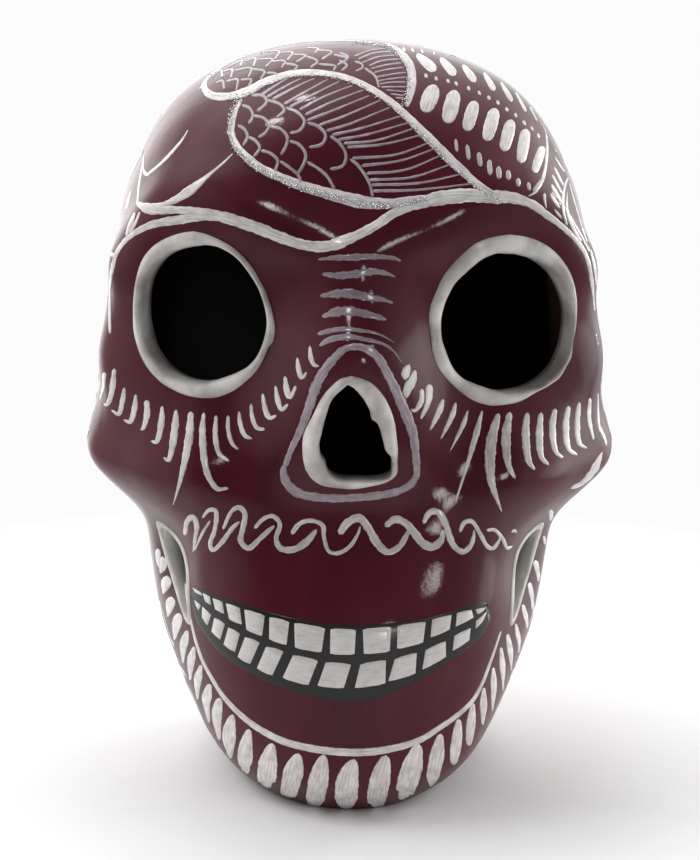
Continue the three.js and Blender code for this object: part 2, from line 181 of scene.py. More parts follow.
def distance_to_path(points, path):
    nearest = None
    for i in range(max(1, len(path) - 1)):
        a = path[i]
        line = path[min(i + 1, len(path) - 1)] - a
        length = line @ line
        t = np.clip((points - a) @ line / length, 0, 1) if length > 0 else np.zeros(points.shape[:-1])
        away = np.linalg.norm(points - a - t[..., None] * line, axis=-1)
        nearest = away if nearest is None else np.minimum(nearest, away)
    return nearest


def smooth_path(shares):
    """A path in millimetres. One with more than two points is rounded at its corners."""
    path = np.array(shares, float) * [HALF_WIDTH, FACE_REACH, HEIGHT]
    if len(path) < 3:
        return path
    at = np.linspace(0, len(path) - 1, PATH_STEPS + 1)
    return np.stack([curve_through(list(enumerate(path[:, k])), at) for k in range(3)], -1)


RELIEF_PATHS = [smooth_path(shares) for _, _, shares in RELIEF]


def skin_radius(turn, z):
    """The distance from the upright axis to the skin. The turn is 0 at the face and grows to +X."""
    z = np.clip(np.asarray(z, float), 0, HEIGHT * (1 - 1e-9))
    ahead, aside = np.cos(turn), np.sin(turn)
    front = ahead > 0
    power = np.where(front, curve_through(FRONT_POWER, z / HEIGHT), BACK_POWER)
    depth = np.where(front, reach_at(FACE_SHARES, FACE_DOME_POWER, FACE_REACH, z),
                     reach_at(BACK_SHARES, BACK_DOME_POWER, BACK_REACH, z))
    width = reach_at(SIDE_SHARES, SIDE_DOME_POWER, HALF_WIDTH, z)
    radius = (np.abs(aside / width) ** power + np.abs(ahead / depth) ** power) ** (-1 / power)
    across = np.hypot(radius * aside, MIDDLE_BLEND)
    points = np.stack([across, -radius * ahead, z + np.zeros_like(radius)], -1)
    swell = sum(rise * np.exp(-(distance_to_path(points, path) / spread) ** 2)
                for (spread, rise, _), path in zip(RELIEF, RELIEF_PATHS))
    return radius + swell


def skin_points(turn, z):
    radius = skin_radius(turn, z)
    return np.stack([radius * np.sin(turn), -radius * np.cos(turn), z + np.zeros_like(radius)], -1)


def reach_to_skin(start, way, furthest):
    """How far from starts inside the skull straight lines meet the skin."""
    inside = np.zeros(start.shape[:-1])
    outside = np.full(start.shape[:-1], float(furthest))
    for _ in range(HALVINGS):
        middle = (inside + outside) / 2
        point = start + way * middle[..., None]
        within = (point[..., 2] > 0) & (point[..., 2] < HEIGHT)
        radius = skin_radius(np.arctan2(point[..., 0], -point[..., 1]), point[..., 2])
        within &= np.hypot(point[..., 0], point[..., 1]) < radius
        inside, outside = np.where(within, middle, inside), np.where(within, outside, middle)
    return inside


def skin_grid(columns, rows, dome_rows):
    start = DOME_START_SHARE * HEIGHT
    low = start * np.arange(rows) / rows
    dome = start + (HEIGHT - start) * np.sin(np.pi / 2 * np.arange(dome_rows) / dome_rows)
    turn, z = np.meshgrid(2 * np.pi * np.arange(columns) / columns, np.concatenate([low, dome]))
    return skin_points(turn, z)


def inset_grid(grid, wall):
    """The grid moved inward by a wall, square to the skin."""
    crown = np.broadcast_to([0.0, 0.0, HEIGHT], grid[:1].shape)
    above = np.concatenate([grid[1:], crown])
    below = np.concatenate([grid[:1], grid[:-1]])
    along = np.roll(grid, -1, 1) - np.roll(grid, 1, 1)
    outward = np.cross(along, above - below)
    outward /= np.linalg.norm(outward, axis=-1, keepdims=True)
    return grid - outward * wall


# Meshes

def to_frame(points):
    """Millimetres about the upright axis, as metres in the frame."""
    return (np.asarray(points, float) + [0, AXIS_DEPTH, 0]) * MM


def new_object(name, data):
    piece = bpy.data.objects.new(name, data)
    bpy.context.scene.collection.objects.link(piece)
    return piece


def mesh_object(name, points, faces, smooth=True):
    mesh = bpy.data.meshes.new(name)
    mesh.from_pydata(to_frame(points).tolist(), [], faces)
    mesh.update()
    if smooth:
        mesh.shade_smooth()
    return new_object(name, mesh)


def turn_outward(mesh):
    work = bmesh.new()
    work.from_mesh(mesh)
    bmesh.ops.recalc_face_normals(work, faces=work.faces)
    work.to_mesh(mesh)
    work.free()


def closed_rings(rings, first_centre, last_centre):
    """Points and faces of a closed solid over rings that run counterclockwise seen from the end."""
    rows, count = rings.shape[:2]
    points = np.concatenate([rings.reshape(-1, 3), [first_centre, last_centre]])
    faces = []
    for j in range(count):
        k = (j + 1) % count
        faces += [(i * count + j, i * count + k, (i + 1) * count + k, (i + 1) * count + j)
                  for i in range(rows - 1)]
        faces.append((k, j, rows * count))
        faces.append(((rows - 1) * count + j, (rows - 1) * count + k, rows * count + 1))
    return points, faces


def ring_object(name, rings):
    """A closed ring whose section is the first axis of rings."""
    rows, count = rings.shape[:2]
    faces = []
    for i in range(rows):
        n = (i + 1) % rows
        faces += [(i * count + j, n * count + j, n * count + (j + 1) % count, i * count + (j + 1) % count)
                  for j in range(count)]
    piece = mesh_object(name, rings.reshape(-1, 3), faces)
    turn_outward(piece.data)
    return piece


def block(name, front, back, low, high):
    reach = HALF_WIDTH + OVERRUN
    corners = [(-reach, front), (reach, front), (reach, back), (-reach, back)]
    rings = np.array([[(x, y, z) for x, y in corners] for z in (low, high)], float)
    middle = (front + back) / 2
    return mesh_object(name, *closed_rings(rings, (0, middle, low), (0, middle, high)), smooth=False)


def carve(piece, tool, operation):
    """Applies a boolean and throws the tool away."""
    modifier = piece.modifiers.new("carve", "BOOLEAN")
    modifier.object = tool
    modifier.operation = operation
    modifier.solver = "MANIFOLD"
    graph = bpy.context.evaluated_depsgraph_get()
    made = bpy.data.meshes.new_from_object(piece.evaluated_get(graph))
    piece.modifiers.clear()
    old = piece.data
    piece.data = made
    bpy.data.meshes.remove(old)
    bpy.data.objects.remove(tool)
    return piece


# The photograph's view

def direction(turn, rise):
    """The way toward a turn from the face, which grows to +X, and a rise, both in degrees."""
    turn, rise = math.radians(turn), math.radians(rise)
    return Vector((math.sin(turn) * math.cos(rise), -math.cos(turn) * math.cos(rise), math.sin(rise)))


def camera_basis():
    back = direction(CAMERA_AZIMUTH, CAMERA_ELEVATION)
    right = Vector((0, 0, 1)).cross(back).normalized()
    up = back.cross(right)
    roll = math.radians(CAMERA_ROLL)
    return right * math.cos(roll) + up * math.sin(roll), up * math.cos(roll) - right * math.sin(roll), back


VIEW_RIGHT, VIEW_UP, VIEW_BACK = camera_basis()
CAMERA_PLACE = Vector(CAMERA_TARGET) + VIEW_BACK * CAMERA_DISTANCE
FOCAL = CAMERA_LENS / SENSOR * PHOTO_HEIGHT

# Enlarged parts of the photograph: left, top and how many times enlarged
WHOLE = (0, 0, 1)
ENLARGED = 5.227
UPPER_LEFT, UPPER_RIGHT = (60, 20, ENLARGED), (340, 20, ENLARGED)
MIDDLE_LEFT, MIDDLE_RIGHT = (80, 380, ENLARGED), (340, 380, ENLARGED)
LOWER_LEFT, LOWER_RIGHT = (120, 560, ENLARGED), (320, 560, ENLARGED)
NOSE_PART = (270, 330, 8.711)


def in_photo(part, spots):
    """Spots read off an enlarged part, as the photograph's own. A third number is a width."""
    left, top, scale = part
    return [(left + spot[0] / scale, top + spot[1] / scale, *(width / scale for width in spot[2:]))
            for spot in spots]


def photo_spots(points):
    """Where points in millimetres about the axis are seen in the photograph."""
    away = points - np.array(CAMERA_PLACE)
    size = FOCAL / -(away @ np.array(VIEW_BACK))
    return np.stack([PHOTO_WIDTH / 2 + away @ np.array(VIEW_RIGHT) * size,
                     PHOTO_HEIGHT / 2 - away @ np.array(VIEW_UP) * size], -1)


def rounded_path(spots, spacing):
    """A smooth path through spots, as evenly spaced rows of place and width."""
    rows = np.array(spots, float)
    if len(rows) == 2:
        rows = np.array([rows[0], rows.mean(0), rows[1]])
    span = np.linalg.norm(np.diff(rows[:, :2], axis=0), axis=1)
    at = np.concatenate([[0], np.cumsum(np.maximum(span, 1e-3))])
    count = max(5, int(at[-1] / spacing) + 1)
    place = np.linspace(0, at[-1], count)
    return np.stack([curve_through(list(zip(at, rows[:, k])), place) for k in range(rows.shape[1])], -1)


# Openings

# The outlines of the holes and of the rims' outer edges as the photograph shows them, clockwise from the top
LEFT_EYE_HOLE = [
    (204, 245.5), (220, 248), (237, 258), (250, 273), (260, 290), (266, 308), (267, 324), (264, 340),
    (258, 355), (250, 364), (240, 371), (228, 376), (212, 380), (195, 378), (180, 371), (168, 360),
    (159, 346), (154, 330), (151.5, 315), (151.5, 298), (154, 281), (161, 266), (170, 256), (183, 249),
]
LEFT_EYE_EDGE = [
    (194, 231), (206, 234), (220, 240), (235, 249), (250, 265), (260, 281), (268, 298), (273, 315),
    (275, 330), (273, 342), (269, 347), (265, 356), (258, 369), (246, 381), (232, 391), (218, 397),
    (205, 398), (190, 396), (175, 391), (160, 382), (147, 368), (139, 352), (134, 332), (133, 315),
    (133.5, 297), (136, 280), (141, 263), (151, 248), (162, 240), (177, 234),
]
RIGHT_EYE_HOLE = [
    (507, 254.5), (520, 255), (533, 261), (545, 271), (553, 283), (559, 299), (561, 315), (559, 334),
    (555, 350), (547, 365), (535, 377), (520, 385), (505, 388.5), (492, 389), (478, 385), (463, 378),
    (452, 366), (446, 352), (441.5, 338), (441, 325), (443, 310), (447, 298), (455, 284), (467, 272),
    (482, 260), (495, 255),
]
RIGHT_EYE_EDGE = [
    (510, 235), (525, 237), (538, 241), (552, 249), (562, 259), (570, 271), (575, 286), (576, 303),
    (574, 325), (571, 342), (570, 358), (566, 365), (560, 377), (548, 386), (535, 393), (520, 402),
    (503, 405), (490, 405.5), (475, 401), (462, 393), (448, 380), (438, 366), (433, 352), (431, 337),
    (429, 322), (430, 308), (436, 292), (443, 277), (452, 265), (462, 255), (475, 244), (490, 238),
]
NOSE_HOLE = [
    (680, 475), (590, 560), (530, 640), (490, 760), (450, 900), (425, 1010), (440, 1060), (480, 1120),
    (500, 1190), (560, 1240), (700, 1255), (850, 1260), (970, 1250), (1040, 1220), (1055, 1150),
    (1050, 1100), (1010, 1060), (985, 960), (965, 880), (930, 810), (862, 766), (880, 730), (850, 660),
    (790, 580), (725, 505),
]
NOSE_EDGE = [
    (700, 402), (600, 440), (510, 520), (430, 630), (370, 750), (315, 850), (284, 930), (280, 1030),
    (290, 1140), (330, 1250), (420, 1338), (560, 1375), (720, 1386), (900, 1360), (1040, 1315),
    (1108, 1250), (1112, 1150), (1108, 1000), (1090, 850), (1050, 700), (990, 580), (900, 475),
    (800, 422),
]
TRACED = {
    ("round", -1): (LEFT_EYE_HOLE, LEFT_EYE_EDGE),
    ("round", 1): (RIGHT_EYE_HOLE, RIGHT_EYE_EDGE),
    ("triangle", 1): (in_photo(NOSE_PART, NOSE_HOLE), in_photo(NOSE_PART, NOSE_EDGE)),
}
FIT_ROUNDS = 6
TRACE_SPACING = 0.5
# The phases of waves are drawn between 0 and this.
ROUND = 6.28


def unit_outline(kind, angle):
    if kind == "triangle":
        reach = 1 + TRIANGLE_SHARE * np.cos(3 * (angle - np.pi / 2))
        swing = -3 * TRIANGLE_SHARE * np.sin(3 * (angle - np.pi / 2))
        return np.stack([reach * np.cos(angle) - swing * np.sin(angle),
                         reach * np.sin(angle) + swing * np.cos(angle)], -1)
    taper = TAPER_SHARE if kind == "blade" else 0
    return np.stack([np.cos(angle) * (1 + taper * np.sin(angle)), np.sin(angle)], -1)


def round_angles():
    return 2 * np.pi * np.arange(RIM_STEPS) / RIM_STEPS


def outline_points(opening, offset):
    """The outline moved outward by an offset."""
    angle = round_angles()
    size = np.array(opening["half"])
    nudge = np.pi / RIM_STEPS
    kind = opening["outline"]
    along = (unit_outline(kind, angle + nudge) - unit_outline(kind, angle - nudge)) * size
    along /= np.linalg.norm(along, axis=-1, keepdims=True)
    outward = np.stack([along[:, 1], -along[:, 0]], -1)
    return unit_outline(kind, angle) * size + outward * offset


class OpeningFrame:
    """An opening's centre on the skin, the way it looks, and what is across and up in it."""

    def __init__(self, opening, side):
        turn = math.radians(opening["turn"]) * side
        lean = math.radians(opening["lean"]) * side
        self.axis = np.array([math.sin(turn), -math.cos(turn), 0])
        level = np.array([math.cos(turn), math.sin(turn), 0])
        self.across = level * math.cos(lean) + np.cross(self.axis, level) * math.sin(lean)
        self.rise = np.cross(self.axis, self.across)
        centre = np.array([opening["place"][0] * HALF_WIDTH * side, 0, opening["place"][1] * HEIGHT])
        centre[1] = -reach_to_skin(centre[None], np.array([[0, -1.0, 0]]), FACE_REACH + OVERRUN)[0]
        self.centre = centre

    def place(self, flat, stand):
        return (self.centre + flat[..., :1] * self.across + flat[..., 1:] * self.rise
                + np.asarray(stand)[..., None] * self.axis)

    def skin_under(self, flat):
        start = self.place(flat, np.full(flat.shape[:-1], -float(OVERRUN)))
        return reach_to_skin(start, np.broadcast_to(self.axis, start.shape), 2 * OVERRUN) - OVERRUN


def reach_round(spots, middle, angle):
    """How far a closed outline of spots lies from a middle, at angles."""
    line = rounded_path([*spots, spots[0]], TRACE_SPACING) - middle
    at = np.arctan2(line[:, 1], line[:, 0])
    order = np.argsort(at)
    return np.interp(angle, at[order], np.linalg.norm(line, axis=1)[order], period=2 * np.pi)


def fitted(place, flat, spots, depths):
    """A flat outline about an opening's middle, changed until it is seen where the photograph shows it.
    Its walls reach through the given depths under the skin."""
    for _ in range(FIT_ROUNDS):
        skin = place.skin_under(flat)
        ratio = np.zeros(len(flat))
        for depth in depths:
            seen = photo_spots(place.place(flat, skin - depth))
            middle = photo_spots(place.place(np.zeros((1, 2)), skin.mean(keepdims=True) - depth))[0]
            away = seen - middle
            wanted = reach_round(spots, middle, np.arctan2(away[:, 1], away[:, 0]))
            ratio = np.maximum(ratio, wanted / np.linalg.norm(away, axis=1))
        flat = flat * ratio[:, None]
    return flat


def opening_outlines(opening, side):
    """An opening's frame, and the flat outlines of its hole and of the cut in the shell."""
    place = OpeningFrame(opening, side)
    hole = outline_points(opening, 0)
    edge = outline_points(opening, opening["rim"] + CLEARANCE)
    traced = TRACED.get((opening["outline"], side))
    if traced:
        hole = fitted(place, hole, traced[0], (0, WALL))
        edge = fitted(place, edge, traced[1], (0,))
    return place, hole, edge


def opening_cutter(opening, side):
    place, _, flat = opening_outlines(opening, side)
    rings = np.stack([place.place(flat, np.full(RIM_STEPS, -float(OVERRUN))),
                      place.place(flat, np.full(RIM_STEPS, float(OVERRUN)))])
    ends = [place.centre - place.axis * OVERRUN, place.centre + place.axis * OVERRUN]
    return mesh_object("cutter", *closed_rings(rings, *ends), smooth=False)


def neck_cutter():
    angle = round_angles()
    ring = np.stack([NECK_HALF_WIDTH * np.cos(angle), NECK_SETBACK + NECK_HALF_DEPTH * np.sin(angle),
                     np.zeros(RIM_STEPS)], -1)
    rings = np.stack([ring - [0, 0, OVERRUN], ring + [0, 0, OVERRUN]])
    ends = [(0, NECK_SETBACK, -OVERRUN), (0, NECK_SETBACK, OVERRUN)]
    return mesh_object("cutter", *closed_rings(rings, *ends), smooth=False)


def smooth_noise(angle, seed, waves):
    """A hand-made unevenness round a ring, between about -1 and 1."""
    draw = random.Random(seed)
    total = np.zeros_like(angle)
    for wave in waves:
        total += draw.uniform(0.3, 1) / wave ** 0.5 * np.sin(wave * angle + draw.uniform(0, ROUND))
    return total / 2


# A rim's section from the hole outward: the share of the rim's width, the height over the skin as a
# share of the rim's stand, and how far the unevenness of the hole's edge and of the outer edge count
RIM_SECTION = [(0, None, 0, 0), (0, -2.4, 0.6, 0), (0, -0.6, 1, 0), (0.06, 0.35, 1, 0), (0.2, 0.82, 0.8, 0.1),
               (0.42, 1, 0.4, 0.2), (0.64, 0.9, 0.15, 0.4), (0.84, 0.5, 0, 0.7), (0.98, 0.1, 0, 1),
               (1.05, -0.25, 0, 1), (1, -0.6, 0, 0), (1, None, 0, 0)]
# How often each unevenness of a rim goes up and down round it
HOLE_WAVES = (2, 3, 5, 9, 14, 23)
EDGE_WAVES = (3, 4, 7, 12, 19)
FULLNESS_WAVES = (2, 3, 6, 11, 17)


def rim_rings(opening, side, seed, rough):
    """Rings of a rim's section: hand-made, with a rounded lip that varies round the opening."""
    place, hole, edge = opening_outlines(opening, side)
    outward = edge / np.linalg.norm(edge, axis=-1, keepdims=True)
    angle = round_angles()
    hole_edge = rough * smooth_noise(angle, seed, HOLE_WAVES)
    outer_edge = rough * smooth_noise(angle, seed + 1, EDGE_WAVES)
    fullness = 1 + 0.5 * rough * smooth_noise(angle, seed + 2, FULLNESS_WAVES)
    rings = []
    for share, stand, hole_share, outer_share in RIM_SECTION:
        nudge = hole_share * hole_edge + outer_share * outer_edge
        flat = hole * (1 - share) + edge * share + outward * nudge[:, None]
        height = np.full(RIM_STEPS, -float(WALL)) if stand is None else stand * opening["stand"] * fullness
        rings.append(place.place(flat, place.skin_under(flat) + height))
    return np.stack(rings)


# Materials

def new_material(name):
    material = bpy.data.materials.new(name)
    material.use_nodes = True
    return material, material.node_tree, material.node_tree.nodes["Principled BSDF"]


def feed(tree, socket, value):
    """Give a socket another node's output, a number or a colour."""
    if isinstance(value, bpy.types.NodeSocket):
        tree.links.new(value, socket)
    else:
        socket.default_value = (*value, 1) if socket.type == "RGBA" else value


def add_node(tree, kind, **values):
    """A node with values for its inputs. An underscore stands for a space in an input's name."""
    node = tree.nodes.new("ShaderNode" + kind)
    for name, value in values.items():
        feed(tree, node.inputs[name.replace("_", " ")], value)
    return node


def add_operation(tree, kind, operation, *values):
    node = tree.nodes.new("ShaderNode" + kind)
    node.operation = operation
    for socket, value in zip(node.inputs, values):
        feed(tree, socket, value)
    return node


def add_noise(tree, place, scale, detail=3, stretch=(1, 1, 1), rough=0.5):
    mapping = add_node(tree, "Mapping", Vector=place, Scale=stretch)
    return add_node(tree, "TexNoise", Vector=mapping.outputs["Vector"], Scale=scale, Detail=detail,
                    Roughness=rough).outputs["Fac"]


def add_range(tree, value, low, high, to_low=0, to_high=1, kind="LINEAR"):
    change = add_node(tree, "MapRange", Value=value, From_Min=low, From_Max=high, To_Min=to_low,
                      To_Max=to_high)
    change.interpolation_type = kind
    return change.outputs["Result"]


def add_mix(tree, factor, low, high):
    """A colour between two, which are colours or sockets."""
    mix = tree.nodes.new("ShaderNodeMix")
    mix.data_type = "RGBA"
    for k, value in ((0, factor), (6, low), (7, high)):
        feed(tree, mix.inputs[k], value)
    return mix.outputs[2]


def add_math(tree, operation, first, second, clamp=True):
    node = add_operation(tree, "Math", operation, first, second)
    node.use_clamp = clamp
    return node.outputs[0]


def object_place(tree):
    return tree.nodes.new("ShaderNodeTexCoord").outputs["Object"]


def add_bump(tree, shader, height, strength, distance, coat=False):
    bump = add_node(tree, "Bump", Height=height, Strength=strength, Distance=distance).outputs["Normal"]
    tree.links.new(bump, shader.inputs["Normal"])
    if coat:
        tree.links.new(bump, shader.inputs["Coat Normal"])


def varnish(shader, roughness, coat, coat_roughness, level=0.3):
    values = {"Roughness": roughness, "Specular IOR Level": level, "IOR": 1.5, "Coat IOR": 1.45,
              "Coat Weight": coat, "Coat Roughness": coat_roughness}
    for name, value in values.items():
        shader.inputs[name].default_value = value


MAROON_DEEP = (0.057, 0.006, 0.0137)
MAROON_FULL = (0.082, 0.0091, 0.0192)
MAROON_THIN = (0.107, 0.0154, 0.0274)
RIM_THIN = (0.47, 0.435, 0.41)
RIM_FULL = (0.77, 0.745, 0.715)
RIM_SMEAR = (0.24, 0.2, 0.2)


def maroon_material():
    """Dark maroon paint, brushed and varnished over slightly lumpy clay."""
    material, tree, shader = new_material("maroon_glaze")
    place = object_place(tree)
    cloudy = add_noise(tree, place, 26, 4)
    brushed = add_noise(tree, place, 90, 4, (1, 1, 0.16))
    lumps = add_noise(tree, place, 75, 2)
    grain = add_noise(tree, place, 900, 2)
    deep = add_mix(tree, add_range(tree, cloudy, 0.35, 0.68), MAROON_DEEP, MAROON_FULL)
    colour = add_mix(tree, add_range(tree, brushed, 0.42, 0.75, 0, 0.5), deep, MAROON_THIN)
    tree.links.new(colour, shader.inputs["Base Color"])
    height = add_math(tree, "ADD", add_range(tree, lumps, 0, 1, 0, 0.75),
                      add_range(tree, grain, 0, 1, 0, 0.06))
    add_bump(tree, shader, height, 0.55, 0.0007, coat=True)
    varnish(shader, 0.45, 0.36, 0.06, 0.05)
    return material


def rim_material():
    """Off-white paint, daubed unevenly over the rims' rough clay."""
    material, tree, shader = new_material("white_rim_paint")
    place = object_place(tree)
    daubs = add_noise(tree, place, 130, 4)
    fine = add_noise(tree, place, 520, 3)
    smears = add_noise(tree, place, 60, 3)
    white = add_mix(tree, add_range(tree, daubs, 0.36, 0.64), RIM_THIN, RIM_FULL)
    colour = add_mix(tree, add_range(tree, smears, 0.58, 0.72, 0, 0.5), white, RIM_SMEAR)
    tree.links.new(colour, shader.inputs["Base Color"])
    height = add_math(tree, "ADD", add_range(tree, daubs, 0, 1, 0, 0.7),
                      add_range(tree, fine, 0, 1, 0, 0.3))
    add_bump(tree, shader, height, 0.6, 0.0006)
    varnish(shader, 0.42, 0.25, 0.2)
    return material


def clay_material(name, light, dark, roughness):
    """Fired clay with a wiped, grainy surface, between two colours given. The inside's near-black colours are
    painted shade.
    """
    material, tree, shader = new_material(name)
    place = object_place(tree)
    cloudy = add_noise(tree, place, 40, 4)
    grain = add_noise(tree, place, 700, 3)
    colour = add_mix(tree, add_range(tree, cloudy, 0.35, 0.65), dark, light)
    tree.links.new(colour, shader.inputs["Base Color"])
    add_bump(tree, shader, grain, 0.5, 0.0005)
    shader.inputs["Roughness"].default_value = roughness
    return material


MAROON = maroon_material()
RIM_WHITE = rim_material()
BARE_CLAY = clay_material("bare_clay", (0.09, 0.045, 0.03), (0.05, 0.025, 0.018), 0.85)
SLOT_LINING = clay_material("slot_lining", (0.78, 0.76, 0.7), (0.42, 0.41, 0.36), 0.6)
# The inside of the shell is coloured near black: painted shade, so the hollow seen through the openings stays
# black.
SHADE_BLACK_INSIDE = clay_material("painted_shade_inside", (0.012, 0.006, 0.006), (0.006, 0.003, 0.003), 0.9)


def dress(piece, material, replaced=()):
    piece.data.materials.clear()
    piece.data.materials.append(material)
    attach(piece, "root")
    if replaced:
        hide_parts(*replaced)


# The clay shells

OPENINGS = [(EYE, -1), (EYE, 1), (NOSE, 1), (JAW_SLOT, -1), (JAW_SLOT, 1)]
RIM_NAMES = ["left_eye_rim", "right_eye_rim", "nose_rim", "left_jaw_slot_rim", "right_jaw_slot_rim"]
RIM_ROUGHNESS = [0.25, 0.25, 0.3, 0.3, 0.3]
LINING_ROWS = 2
SHARP_ANGLE = 38


def hollow_skull():
    crown = (0, 0, HEIGHT)
    outer_grid = skin_grid(SKIN_COLUMNS, SKIN_ROWS, SKIN_DOME_ROWS)
    outer = mesh_object("skull", *closed_rings(outer_grid, (0, 0, 0), crown))
    inner_grid = inset_grid(skin_grid(INNER_COLUMNS, INNER_ROWS, INNER_DOME_ROWS), WALL)
    inner = mesh_object("inside", *closed_rings(inner_grid, (0, 0, 0), (0, 0, HEIGHT - WALL)))
    room = block("room", -BACK_REACH - OVERRUN, BACK_REACH + OVERRUN, FOOT_THICKNESS, HEIGHT)
    carve(outer, carve(inner, room, "INTERSECT"), "DIFFERENCE")
    for opening, side in OPENINGS:
        carve(outer, opening_cutter(opening, side), "DIFFERENCE")
    return carve(outer, neck_cutter(), "DIFFERENCE")


def is_inside_skin(point):
    """Whether a point in millimetres lies well under the skin."""
    radius = skin_radius(np.arctan2(point[:, 0], -point[:, 1]), point[:, 2])
    return np.hypot(point[:, 0], point[:, 1]) < radius - WALL / 2


def make_shells():
    skull = hollow_skull()
    rear = new_object("cranium_clay", skull.data.copy())
    skull.name = "face_clay"
    carve(skull, block("front", -FACE_REACH - OVERRUN, SEAM_SETBACK, -OVERRUN, HEIGHT + OVERRUN), "INTERSECT")
    carve(rear, block("rear", SEAM_SETBACK, BACK_REACH + OVERRUN, -OVERRUN, HEIGHT + OVERRUN), "INTERSECT")
    for piece, node in ((skull, "face_shell"), (rear, "cranium_shell")):
        piece.data.shade_smooth()
        piece.data.set_sharp_from_angle(angle=math.radians(SHARP_ANGLE))
        dress(piece, MAROON, [node])
        # Faces well under the skin take the near-black painted shade of the hollow.
        piece.data.materials.append(SHADE_BLACK_INSIDE)
        centres = np.array([face.center[:] for face in piece.data.polygons]) / MM - [0, AXIS_DEPTH, 0]
        inside = is_inside_skin(centres)
        piece.data.polygons.foreach_set("material_index", inside.astype(int))
        piece.data.update()


def make_rims():
    for (opening, side), name, rough in zip(OPENINGS, RIM_NAMES, RIM_ROUGHNESS):
        rim = ring_object(name + "_clay", rim_rings(opening, side, len(name) * 7 + side, rough))
        dress(rim, RIM_WHITE, [name])
        if opening is JAW_SLOT:
            rim.data.materials.append(SLOT_LINING)
            for face in rim.data.polygons[:LINING_ROWS * RIM_STEPS]:
                face.material_index = 1


make_shells()
make_rims()
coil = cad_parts["seam_coil"]
coil.data.materials.clear()
coil.data.materials.append(BARE_CLAY)


# Camera, lights and floor

LAMPS_AIM = (0, 0, 95)
# Where a lamp that only gleams is full and where it is gone, in shares of its size from its middle
GLEAM_FADE = (0.1, 0.5)
TENT_STRENGTH = 0.66
BACKDROP = (0.97, 0.97, 0.97)
# How bright the tent is, from its dark opening behind the camera round to behind the skull
TENT_DARK_RISE = 30
TENT_STOPS = [(0.02, 0.02), (0.12, 0.06), (0.28, 0.36), (0.55, 1)]
# Brighter patches of it: turn and rise, the radii in degrees where a patch is full and gone, its strength
TENT_LOBES = [(-85, 12, 8, 45, 0.55), (85, 8, 8, 42, 0.3), (180, 55, 10, 60, 0.5), (-165, 0, 8, 40, 1.9),
              (130, 5, 5, 32, 1.5), (-132, 58, 5, 30, 1.4), (104, -6, 4, 18, 2.2)]
# The floor in metres: its half width, its front and its back, and between which distances it fades away
FLOOR_SPAN = (0.45, -0.4, 0.45)
FLOOR_FADE = (0.1, 0.26)
FLOOR_DARK, FLOOR_LIGHT = (0.9, 0.9, 0.9), (0.93, 0.93, 0.93)


def make_camera():
    camera = new_object("camera", bpy.data.cameras.new("camera"))
    place = Vector(to_frame(CAMERA_TARGET)) + VIEW_BACK * CAMERA_DISTANCE * MM
    turned = Matrix((VIEW_RIGHT, VIEW_UP, VIEW_BACK)).transposed().to_4x4()
    camera.matrix_world = Matrix.Translation(place) @ turned
    camera.data.lens = CAMERA_LENS
    camera.data.sensor_width = SENSOR
    camera.data.clip_start = 0.01
    bpy.context.scene.camera = camera


def soften(lamp):
    """Fade a lamp toward its edge, so that its mirror image has no hard outline."""
    lamp.use_nodes = True
    tree = lamp.node_tree
    place = tree.nodes.new("ShaderNodeNewGeometry").outputs["Parametric"]
    away = add_operation(tree, "VectorMath", "DISTANCE", place, (0.5, 0.5, 0)).outputs["Value"]
    level = add_range(tree, away, *GLEAM_FADE, 1, 0, kind="SMOOTHSTEP")
    tree.links.new(level, tree.nodes["Emission"].inputs["Strength"])


def area_light(name, turn, rise, distance, size, power, shines=True, mirrored=True, lean=0):
    """A lamp at a turn from the face. It may fill the shade only, or show in the varnish only."""
    lamp = bpy.data.lights.new(name, "AREA")
    lamp.shape = "ELLIPSE"
    lamp.size, lamp.size_y = size
    lamp.energy = power
    piece = new_object(name, lamp)
    piece.visible_diffuse, piece.visible_glossy = shines, mirrored
    away = direction(turn, rise)
    piece.location = Vector(to_frame(LAMPS_AIM)) + away * distance
    aimed = (-away).to_track_quat("-Z", "Y") @ Quaternion((0, 0, 1), -math.radians(lean))
    piece.rotation_euler = aimed.to_euler()
    if not shines:
        soften(lamp)


def add_shader(tree, kind, *values):
    node = tree.nodes.new("ShaderNode" + kind)
    for socket, value in zip(node.inputs, values):
        tree.links.new(value, socket)
    return node.outputs[0]


def tent_colour(tree, way):
    """The tent's own light toward a way: dim before the skull and full behind it."""
    behind = add_operation(tree, "VectorMath", "DOT_PRODUCT", way, direction(180, -TENT_DARK_RISE))
    ramp = add_node(tree, "ValToRGB", Fac=add_range(tree, behind.outputs["Value"], -1, 1))
    ramp.color_ramp.interpolation = "EASE"
    stops = ramp.color_ramp.elements
    for stop, (place, level) in zip(stops, (TENT_STOPS[0], TENT_STOPS[-1])):
        stop.position, stop.color = place, (level, level, level, 1)
    for place, level in TENT_STOPS[1:-1]:
        stops.new(place).color = (level, level, level, 1)
    return ramp.outputs["Color"]


def tent_patches(tree, way):
    """The strength of the brighter patches together."""
    total = 0
    for turn, rise, full, gone, strength in TENT_LOBES:
        along = add_operation(tree, "VectorMath", "DOT_PRODUCT", way, direction(turn, rise)).outputs["Value"]
        limits = (math.cos(math.radians(gone)), math.cos(math.radians(full)))
        level = add_range(tree, along, *limits, 0, strength, kind="SMOOTHSTEP")
        total = add_math(tree, "ADD", total, level, clamp=False)
    return total


